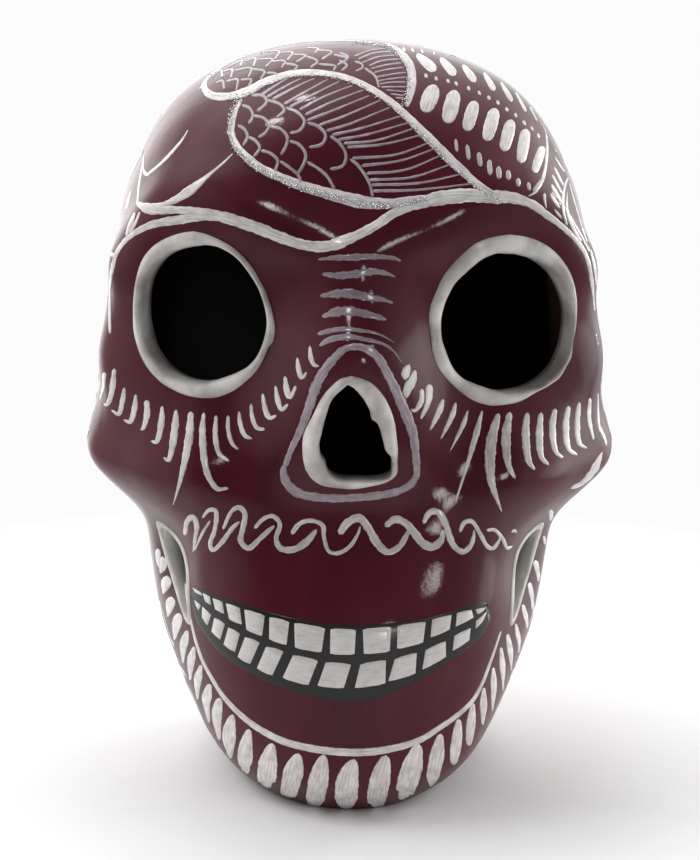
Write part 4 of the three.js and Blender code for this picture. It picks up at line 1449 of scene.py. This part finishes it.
REAR_FAN = [
    [(75, 190), (150, 162), (246, 149)], [(95, 205), (170, 176), (266, 165)],
    [(115, 225), (190, 196), (286, 185)], [(150, 241), (210, 216), (306, 205)],
    [(160, 256), (240, 236), (321, 225)], [(175, 276), (250, 259), (336, 249)],
    [(185, 300), (260, 286), (346, 275)], [(195, 321), (260, 309), (351, 300)],
    [(205, 336), (270, 326), (351, 326)], [(212, 352), (280, 350), (346, 351)], [(240, 366), (346, 377)],
    [(265, 386), (341, 398)], [(290, 406), (341, 412)],
]
# Petals and leaves on the right of the crown: two ends and a width
CROWN_PETALS = [
    (402, 180, 500, 266, 54), (524, 198, 603, 288, 50), (642, 236, 708, 322, 46),
    (752, 276, 808, 368, 40), (840, 325, 900, 425, 36), (915, 372, 972, 478, 28),
    (985, 440, 1030, 528, 22), (1040, 510, 1056, 548, 14), (497, 340, 440, 482, 78),
    (602, 368, 560, 540, 74), (706, 424, 660, 580, 62), (812, 462, 765, 632, 64),
    (896, 522, 855, 686, 60), (972, 570, 945, 748, 56), (1060, 660, 1015, 798, 44),
    (1062, 830, 1010, 900, 22), (290, 124, 340, 134, 14), (604, 622, 612, 690, 16),
    (664, 652, 674, 732, 20), (725, 692, 735, 768, 24), (780, 730, 785, 812, 24),
    (828, 765, 832, 832, 26), (878, 784, 882, 838, 24), (930, 826, 934, 872, 22),
    (984, 848, 990, 892, 18),
]
CROWN_DOTS = [
    (450, 292), (503, 306), (565, 320), (607, 333), (672, 357), (728, 382), (778, 407), (825, 432),
    (872, 468), (918, 498), (962, 537), (1003, 568), (1037, 605), (335, 155), (380, 158), (430, 164),
    (490, 171), (555, 182), (620, 200), (690, 225),
]
RIGHT_PANEL = [
    [(1036, 515, 10), (1068, 565, 14), (1082, 640, 16), (1078, 740, 16), (1060, 830, 18), (1025, 895, 14),
     (985, 922, 6)],
    [(1068, 905, 16), (1070, 945, 12), (1078, 985, 6)],
    [(1078, 572, 6), (1112, 612, 8), (1152, 662, 12), (1188, 730, 16), (1196, 800, 18), (1178, 860, 18),
     (1166, 925, 16), (1168, 1000, 16), (1186, 1075, 10)],
    [(1198, 850, 14), (1225, 950, 26), (1258, 1060, 28), (1292, 1165, 14)],
    [(1216, 842, 10), (1256, 960, 22), (1284, 1080, 20), (1302, 1170, 8)],
    [(1186, 900, 8), (1188, 1000, 16), (1220, 1090, 22), (1262, 1160, 10)],
    [(1308, 1200, 10), (1330, 1290, 18), (1340, 1400, 20), (1348, 1520, 12)],
]
PANEL_LEAVES = [
    (1118, 672, 1172, 748, 14), (1120, 712, 1176, 800, 18), (1118, 768, 1170, 868, 20),
    (1108, 808, 1164, 914, 20), (1104, 858, 1160, 958, 22), (1098, 908, 1148, 984, 20),
    (1120, 990, 1160, 1040, 12),
]
JAW_LINE = [
    (185, 583, 1), (187, 600, 1.4), (190, 617, 2), (195.6, 640, 3), (202, 659.5, 3.4), (212, 678.6, 3.8),
    (223, 696, 4.6), (238.6, 713, 5.4), (257.7, 728, 6.5), (282.6, 741, 7.3), (311, 748.4, 7.7),
    (340, 752, 8), (368.7, 752, 8), (397, 747.5, 7.3), (420, 740, 6.5), (438.6, 728.4, 5.7),
    (457.7, 715, 5), (473, 700, 4.2), (482.6, 682.4, 3.4), (490, 663, 3), (496, 646, 2.3),
    (500.8, 631, 1.5),
]
LEFT_JAW_PETALS = [
    [(198, -60, 30), (200, -10, 40), (205, 40, 12)], [(222, -18, 30), (225, 30, 46), (212, 70, 10)],
    [(245, 82, 38), (240, 125, 60), (226, 178, 12)], [(268, 192, 40), (262, 235, 64), (250, 298, 12)],
    [(308, 278, 36), (295, 345, 64), (285, 418, 20)], [(352, 368, 20), (332, 450, 54), (330, 540, 20)],
    [(388, 452, 16), (370, 535, 50), (368, 628, 20)], [(424, 548, 16), (406, 632, 50), (406, 728, 30)],
    [(468, 648, 28), (452, 735, 60), (466, 850, 30)], [(520, 722, 38), (506, 812, 60), (520, 940, 36)],
    [(588, 808, 30), (570, 905, 76), (578, 1040, 60)], [(674, 884, 30), (655, 995, 82), (658, 1140, 70)],
    [(795, 958, 40), (772, 1070, 106), (765, 1215, 90)],
    [(933, 1012, 48), (906, 1110, 110), (872, 1262, 80)],
    [(1066, 1018, 40), (1042, 1130, 106), (1012, 1292, 100)],
    [(1226, 1042, 48), (1190, 1150, 122), (1180, 1302, 120)],
    [(1392, 1022, 48), (1362, 1140, 110), (1330, 1302, 100)],
]
RIGHT_JAW_PETALS = [
    [(516, 962, 46), (480, 1090, 116), (425, 1270, 90)],
    [(631, 908, 28), (612, 1020, 80), (578, 1182, 60)], [(726, 832, 28), (715, 940, 60), (697, 1070, 45)],
    [(800, 747, 20), (790, 850, 50), (777, 970, 40)], [(856, 667, 16), (855, 760, 42), (850, 862, 24)],
    [(906, 562, 16), (908, 670, 40), (900, 790, 20)], [(946, 457, 14), (955, 570, 38), (955, 690, 16)],
    [(980, 387, 14), (995, 480, 40), (1000, 590, 12)],
    [(1022, 332, 12), (1040, 430, 40), (1035, 530, 14)],
    [(1060, 232, 16), (1080, 320, 40), (1085, 410, 12)],
    [(1095, 117, 20), (1110, 220, 40), (1110, 330, 12)],
    [(1125, 2, 30), (1145, 110, 42), (1145, 200, 12)],
    [(1169, -126, 28), (1184, -42, 42), (1184, 42, 12)],
    [(1208, -262, 46), (1208, -220, 48), (1204, -176, 18)],
]
# The teeth: the corners of each, clockwise from its upper left
TEETH_LEFT = [
    [(380, 143), (425, 168), (432, 188), (395, 168)], [(434, 170), (472, 190), (480, 238), (448, 218)],
    [(485, 196), (538, 216), (548, 285), (500, 260)], [(553, 221), (628, 246), (640, 342), (572, 314)],
    [(648, 252), (760, 286), (744, 402), (660, 368)], [(780, 292), (888, 318), (872, 450), (778, 418)],
    [(908, 322), (1076, 352), (1055, 488), (912, 462)],
    [(1098, 354), (1236, 360), (1228, 498), (1095, 495)],
    [(1266, 357), (1420, 344), (1412, 482), (1272, 496)],
    [(390, 206), (425, 236), (412, 264), (400, 240)], [(432, 240), (480, 286), (458, 345), (430, 300)],
    [(495, 296), (552, 330), (525, 420), (478, 375)], [(568, 346), (630, 380), (602, 486), (540, 445)],
    [(655, 396), (735, 425), (680, 550), (612, 510)], [(765, 446), (860, 470), (795, 610), (712, 570)],
    [(905, 490), (1040, 520), (985, 660), (845, 620)],
    [(1075, 528), (1212, 540), (1170, 675), (1028, 662)],
    [(1255, 540), (1392, 516), (1390, 650), (1222, 675)],
]
TEETH_RIGHT = [
    [(402, 340), (556, 318), (540, 435), (400, 470)], [(584, 306), (690, 282), (678, 366), (574, 410)],
    [(714, 272), (792, 258), (804, 300), (706, 352)], [(808, 256), (868, 246), (845, 270), (822, 284)],
    [(390, 512), (508, 478), (500, 598), (352, 640)], [(550, 465), (658, 418), (660, 508), (530, 580)],
    [(700, 392), (788, 350), (780, 420), (690, 480)], [(812, 318), (872, 268), (848, 320), (812, 360)],
]
MOUTH_TOP = [
    (362, 120), (440, 158), (540, 196), (650, 230), (780, 268), (900, 298), (1080, 330), (1250, 336),
    (1440, 324), (1600, 300), (1745, 262), (1850, 232), (1915, 224), (1950, 248),
]
MOUTH_BOTTOM = [
    (362, 150), (392, 300), (455, 410), (535, 500), (645, 575), (780, 645), (900, 690), (1050, 728),
    (1220, 745), (1400, 705), (1530, 650), (1620, 600), (1740, 520), (1830, 455), (1905, 380),
    (1950, 270),
]
FRONT_SCALE_WIDTH = 17 / ENLARGED
REAR_SCALE_WIDTH = 12 / ENLARGED
REAR_FAN_WIDTH = 9 / ENLARGED
FRONT_FAN_WIDTHS = (18, 8)
# Petals below this spot that are thinner than this width are faint
FAINT_BELOW = 600
FAINT_WIDTH = 30
MOUTH_GRID = (90, 16)
MOUTH_LIFT = 0.09
TOOTH_LIFT = 0.2
TOOTH_CORNER = 0.05
TOOTH_ROWS = 9
# A tooth's columns are about this wide in the enlarged part, and never fewer than this
TOOTH_COLUMN = 14
FEWEST_COLUMNS = 5
TOOTH_LOADS = (0.85, 1)
DOT_SIZE = (3, 4.6)
# The glitter along the lobes: the line, how many grains, how far to its left and how widely strewn
GLITTER_LINES = [
    (UPPER_LEFT, FRONT_LOBE_LOW, 950, 2.2, 1.5), (UPPER_LEFT, FRONT_LOBE_HIGH, 480, 3.4, 1.1),
    (UPPER_RIGHT, REAR_LOBE_RIGHT, 330, 3.2, 1.2), (UPPER_LEFT, REAR_LOBE, 60, 0.5, 1),
]


def widened(lines, factor):
    return [[(x, y, width * factor) for x, y, width in line] for line in lines]


def leaf(row, first, middle, last):
    """A short stroke between two ends, with its width times three factors."""
    x, y, u, v, width = row
    return [(x, y, width * first), ((x + u) / 2, (y + v) / 2, width * middle), (u, v, width * last)]


def paint_face():
    """The strokes under the eyes, the scroll under the nose, the nose and the brow."""
    paint = Paint(11)
    paint.strokes(MIDDLE_LEFT, LEFT_EYE_STROKES, load=0.95)
    paint.strokes(MIDDLE_RIGHT, RIGHT_EYE_STROKES, load=0.95)
    paint.finish("eye_strokes", WHITE)
    paint = Paint(12)
    paint.strokes(MIDDLE_LEFT, LEFT_SCROLL, load=0.85, fade=0.3)
    paint.strokes(MIDDLE_RIGHT, RIGHT_SCROLL, load=0.85, fade=0.3)
    paint.finish("lip_scroll", WHITE)
    paint = Paint(13)
    paint.strokes(NOSE_PART, NOSE_OUTLINE, load=0.75, fade=0.1)
    paint.strokes(NOSE_PART, NOSE_ARCS, load=0.6, fade=0.6)
    paint.strokes(WHOLE, BRIDGE_ARCS, load=0.5, wobble=0.2)
    paint.finish("nose_lines", LILAC)
    paint = Paint(14)
    lines = [BROW_LEFT_LOWER, BROW_LEFT, *LEFT_BRANCHES, *LEFT_FLOWER]
    paint.strokes(UPPER_LEFT, widened(lines, 1.15), load=0.95, fade=0.1, wobble=0.08)
    paint.strokes(UPPER_RIGHT, widened([BROW_RIGHT], 1.15), load=0.95, fade=0.1, wobble=0.08)
    paint.finish("brow_lines", WHITE)


def paint_lobes():
    paint = Paint(15)
    bands = widened([FRONT_LOBE_LOW, FRONT_LOBE_HIGH, REAR_LOBE], 1.25)
    paint.strokes(UPPER_LEFT, bands, load=0.92, fade=0.1, wobble=0.06)
    paint.strokes(UPPER_RIGHT, widened([REAR_LOBE_RIGHT], 1.15), load=0.92, fade=0.1, wobble=0.06)
    paint.finish("crown_lobe_bands", WHITE)
    fine = Paint(16)
    fine.strokes(UPPER_LEFT, FRONT_SCALES, width=FRONT_SCALE_WIDTH, load=0.85, spacing=1)
    fine.strokes(UPPER_LEFT, REAR_SCALES, width=REAR_SCALE_WIDTH, load=0.8, spacing=1)
    fan = [[(*spot, width) for spot, width in zip(line, np.linspace(*FRONT_FAN_WIDTHS, len(line)))]
           for line in FRONT_FAN]
    fine.strokes(UPPER_LEFT, fan, load=0.85, fade=0.4)
    fine.strokes(UPPER_RIGHT, REAR_FAN, width=REAR_FAN_WIDTH, load=0.8, fade=0.3, spacing=1)
    fine.finish("crown_scales_and_fans", LILAC)
    glitter = Paint(21)
    for part, line, count, offset, spread in GLITTER_LINES:
        sprinkle(glitter, in_photo(part, line), count, offset, spread)
    glitter.finish("glitter", GLITTER)


def paint_petals():
    paint = Paint(17)
    for row in CROWN_PETALS:
        faint = row[1] > FAINT_BELOW and row[4] < FAINT_WIDTH
        paint.strokes(UPPER_RIGHT, [leaf(row, 0.95, 1.15, 0.9)], load=0.5 if faint else 1, fade=0.15,
                      wobble=0.03, spacing=1)
    for spot in in_photo(UPPER_RIGHT, CROWN_DOTS):
        paint.dab(spot, *DOT_SIZE, lean=-25, load=0.85)
    paint.strokes(UPPER_RIGHT, RIGHT_PANEL, load=0.95, fade=0.1)
    paint.strokes(UPPER_RIGHT, [leaf(row, 0.6, 1, 0.5) for row in PANEL_LEAVES], load=0.95, spacing=1)
    paint.finish("crown_petals", WHITE)


def paint_jaw():
    paint = Paint(18)
    paint.stroke(JAW_LINE, load=0.9, fade=0, wobble=0.05)
    paint.strokes(LOWER_LEFT, LEFT_JAW_PETALS, load=0.98, fade=0.1, wobble=0.04)
    paint.strokes(LOWER_RIGHT, RIGHT_JAW_PETALS, load=0.98, fade=0.1, wobble=0.04)
    paint.finish("jaw_petals", WHITE)


def paint_teeth():
    mouth = Paint(19)
    lines = [in_photo(LOWER_LEFT, line) for line in (MOUTH_TOP, MOUTH_BOTTOM)]
    add_sheet(mouth, *lines, *MOUTH_GRID, MOUTH_LIFT)
    mouth.finish("mouth_black", BLACK)
    teeth = Paint(20)
    for part, cells in ((LOWER_LEFT, TEETH_LEFT), (LOWER_RIGHT, TEETH_RIGHT)):
        for a, b, c, d in cells:
            columns = max(FEWEST_COLUMNS, int((b[0] - a[0]) / TOOTH_COLUMN))
            add_sheet(teeth, in_photo(part, [a, b]), in_photo(part, [d, c]), columns, TOOTH_ROWS,
                      TOOTH_LIFT, teeth.random.uniform(*TOOTH_LOADS), TOOTH_CORNER)
    teeth.finish("teeth", TOOTH)


# The motifs of the parts that the photograph doesn't show, in millimetres

PETAL_WIDTHS = [(0, 0.45), (0.3, 0.9), (0.65, 1), (1, 0.5)]
# One S of the running scroll: shares of its pitch, of half its height and of its width
WAVE_SHAPE = [(0, 0.2, 0.6), (0.2, 0.85, 0.9), (0.5, 0.9, 1), (0.8, 0.1, 1), (1.05, -0.75, 1),
              (1.3, -0.95, 0.9), (1.52, -0.6, 0.5)]
SCALE_ARC = 80
FINE_WIDTH = 0.9


def round_spot(middle, angle, radius):
    """The spot at an angle in radians from upright and a radius from a middle."""
    return middle[0] + math.sin(angle) * radius, middle[1] + math.cos(angle) * radius


def petal(paint, root, angle, length, width, load=1, bend=0):
    """One brush petal from its root, at an angle from upright. It may bend sideways, in degrees."""
    spots = [(*round_spot(root, math.radians(angle + bend * share), length * share), width * thickness)
             for share, thickness in PETAL_WIDTHS]
    paint.stroke(spots, load=load * paint.random.uniform(0.85, 1), fade=0.15, wobble=0.04)


def flower(paint, middle, petals, inner, outer, width, load=1, first=0):
    for k in range(petals):
        angle = first + 360 * k / petals + paint.random.uniform(-2.5, 2.5)
        root = round_spot(middle, math.radians(angle), inner)
        petal(paint, root, angle, (outer - inner) * paint.random.uniform(0.93, 1.05), width, load)


def ring_of_dots(paint, middle, count, radius, size):
    for k in range(count):
        angle = 2 * math.pi * k / count + paint.random.uniform(-0.05, 0.05)
        paint.dab(round_spot(middle, angle, radius), size, size * 1.15)


def loop(paint, middle, radius, width):
    """A painted ring, with its ends just meeting."""
    spots = [round_spot(middle, angle, radius) for angle in np.linspace(0, 2 * math.pi, 17)]
    paint.stroke(spots, width, load=0.95, fade=0.1)


def petal_row(paint, path, count, length, width, angles):
    """Petals from along a path, turning from the first angle to the last."""
    rows = rounded_path(path, MOTIF_SPACING)
    for k in range(count):
        share = (k + 0.5) / count
        angle = angles[0] + (angles[1] - angles[0]) * share + paint.random.uniform(-2, 2)
        root = rows[min(len(rows) - 1, int(share * len(rows)))]
        petal(paint, root, angle, length * paint.random.uniform(0.9, 1.08), width)


def wave(paint, start, count, pitch, height, width):
    """A running scroll: each stroke is an S that begins inside the one before."""
    for k in range(count):
        x = start[0] + k * pitch
        spots = [(x + a * pitch, start[1] + b * height / 2, c * width) for a, b, c in WAVE_SHAPE]
        paint.stroke(spots, load=0.9, fade=0.25)


def scale_rows(left, right, low, high, size, keep):
    """Places for overlapping scales in a region that a test keeps."""
    spots = []
    row, y = 0, low
    while y < high:
        x = left + (size if row % 2 else 0)
        while x < right:
            if keep(x, y):
                spots.append((x, y))
            x += 2 * size
        y += size * 1.05
        row += 1
    return spots


def scales(fine, spots, size):
    """Arcs open downward, one over each spot."""
    for spot in spots:
        arc = [round_spot(spot, math.radians(SCALE_ARC * share), size) for share in (-1, -0.5, 0, 0.5, 1)]
        fine.stroke(arc, FINE_WIDTH, load=0.85)


def paint_side(side):
    """What the photograph doesn't show of one side: a flower, its leaves, and the jaw's petals run on."""
    ray = level_ray(90 * side, 4, side, HEIGHT / 2)
    paint, fine = Paint(40 + side, ray, MOTIF_SPACING), Paint(50 + side, ray, MOTIF_SPACING)
    middle = (22, 112)
    flower(paint, middle, 13, 9.5, 24, 4.6)
    flower(fine, middle, 13, 26, 31, 1.6, 0.9, 14)
    loop(paint, middle, 7.2, 1.5)
    ring_of_dots(paint, middle, 7, 3.8, 1.5)
    for x, z, angle, bend in ((-4.76, 118.45, -68, 30), (-8, 109, -95, 24), (-4.76, 99.55, -122, 16)):
        petal(paint, (x, z), angle, 15, 4, 1, bend)
    for x, z, angle, bend in ((2, 70, 160, 40), (12, 66, 175, 25), (24, 64, 190, 10), (36, 66, 200, -10)):
        petal(paint, (x, z), angle, 15, 4.4, 1, bend)
    paint.stroke([(-14, 76, 1), (2, 75, 1.8), (24, 70, 2), (46, 76, 1.8), (60, 88, 1)], load=0.95)
    petal_row(paint, [(-14, 77), (-9, 84), (-2, 91)], 4, 6.5, 2.6, (-62, -42))
    for x, z, angle in ((-4, 142, -60), (6, 148, -45), (18, 151, -25), (30, 150, 0), (42, 145, 20)):
        petal(paint, (x, z), angle, 12, 3.6, 1, 12)
    paint.finish("side_flowers", WHITE)
    fine.finish("side_flower_rays", LILAC)


def paint_back_lobe(paint, fine, side):
    """A lobe like those on the crown: a band, rows of scales in its round end and a fan to its tip."""
    outline = [(5, 128), (12, 140), (24, 147), (37, 143), (44, 131), (42, 118), (36, 106)]
    paint.stroke([(side * x, z) for x, z in outline], 2.2, load=0.95, fade=0.1)
    spots = scale_rows(8, 38, 130, 143, 2.7, lambda x, z: 10 < x < 36 and z < 141 - abs(x - 24) * 0.25)
    scales(fine, [(side * x, z) for x, z in spots], 2.7)
    for k in range(7):
        ends = [(side * (30 + 0.5 * k), 128 - 2.6 * k), (side * (38 + 0.3 * k), 126 - 3.4 * k)]
        fine.stroke(ends, FINE_WIDTH, load=0.85, fade=0.4)
    tip = [(5, 128), (14, 127), (24, 122), (31, 114), (36, 104), (39, 92), (40, 78)]
    paint.stroke([(side * x, z) for x, z in tip], 2.2, load=0.95)
    for x, z, angle in ((14, 56, 150), (24, 60, 136)):
        petal(paint, (side * x, z), side * angle, 12, 4, 1, -side * 20)


def paint_back():
    """The back: a tall flower between two lobes, over the petals of the foot."""
    ray = level_ray(180, 6, 1, HEIGHT / 2)
    paint, fine = Paint(60, ray, MOTIF_SPACING), Paint(61, ray, MOTIF_SPACING)
    middle = (0, 92)
    flower(paint, middle, 15, 10, 26, 4.8)
    loop(paint, middle, 7.6, 1.6)
    ring_of_dots(paint, middle, 8, 4, 1.6)
    ring_of_dots(paint, middle, 30, 30, 1.3)
    for side in (-1, 1):
        paint_back_lobe(paint, fine, side)
    paint.finish("back_flower", WHITE)
    fine.finish("back_scales", LILAC)


def paint_foot():
    """The jaw's petals and line run on round the foot, with the lip's scroll over them."""
    paint = Paint(80, round_ray, MOTIF_SPACING)
    first, last = (math.radians(turn) * ROUND_RADIUS for turn in (57, 303))
    height = [27, 25, 24, 24, 24, 24, 24, 25, 27]
    line = list(zip(np.linspace(first, last, len(height)), height))
    paint.stroke(line, 2, load=0.95)
    petal_row(paint, [(x, z - 3.5) for x, z in line], 35, 15, 4.6, (174, 186))
    wave(paint, (first + 5, 38), 26, 7.8, 9, 1.8)
    paint.finish("foot_petals", WHITE)


def paint_crown():
    """The crown behind what the photograph shows: the far lobe is closed and a row of petals follows it."""
    ray = level_ray(0, 90)
    paint, fine = Paint(70, ray, MOTIF_SPACING), Paint(71, ray, MOTIF_SPACING)
    paint.stroke([(-36, -19, 1.2), (-34, -11, 1.5), (-28, -4, 1.8), (-19, 0, 2.1), (-10, -1, 2.3),
                  (-3, -5, 2.2), (5, -8.5, 1.8)], load=0.95)
    for x, y, angle in ((-26, 6, -20), (-16, 12, -8), (-5, 15, 0), (6, 13, 12), (16, 7, 25), (24, -1, 38)):
        petal(paint, (x, y), angle, 13, 4.6)
    for k in range(9):
        x = -34 + 8.5 * k
        petal(fine, (x, 34 - 0.012 * x * x), x * 0.5, 6, 1.8, 0.8)
    for x in range(-30, 31, 6):
        paint.dab((x, 30.5 - 0.012 * x * x), 1.5, 1.7)
    paint.finish("crown_back_petals", WHITE)
    fine.finish("crown_back_rays", LILAC)


paint_face()
paint_lobes()
paint_petals()
paint_jaw()
paint_teeth()
paint_side(-1)
paint_side(1)
paint_back()
paint_foot()
paint_crown()

make_camera()
make_world()
make_floor()
# Each lamp: its turn and rise, its distance and size in metres, and its power in watts
area_light("right_rim", 128, 10, 0.8, (0.1, 0.4), 2)
area_light("lip_gleam", 34, 12, 0.9, (0.22, 0.36), 4.5, shines=False, lean=20)
area_light("cheek_gleam", 15, -20, 0.9, (0.2, 0.28), 3.4, shines=False)
area_light("bridge_gleam", -22, 37, 0.9, (0.2, 0.24), 4, shines=False)
area_light("crown_gleam", -100, 68, 0.9, (0.1, 0.1), 1.1, shines=False)
area_light("second_crown_gleam", -150, 69, 0.9, (0.08, 0.08), 0.7, shines=False)
area_light("left_fill", -80, 42, 0.8, (0.5, 0.5), 2.7, mirrored=False)
area_light("right_fill", 75, 25, 0.8, (0.5, 0.5), 1.2, mirrored=False)
area_light("top_fill", 180, 80, 0.8, (0.5, 0.5), 1.6, mirrored=False)
area_light("low_fill", 0, 0, 0.8, (0.6, 0.1), 0.9, mirrored=False)
bpy.context.scene.view_settings.view_transform = "Standard"
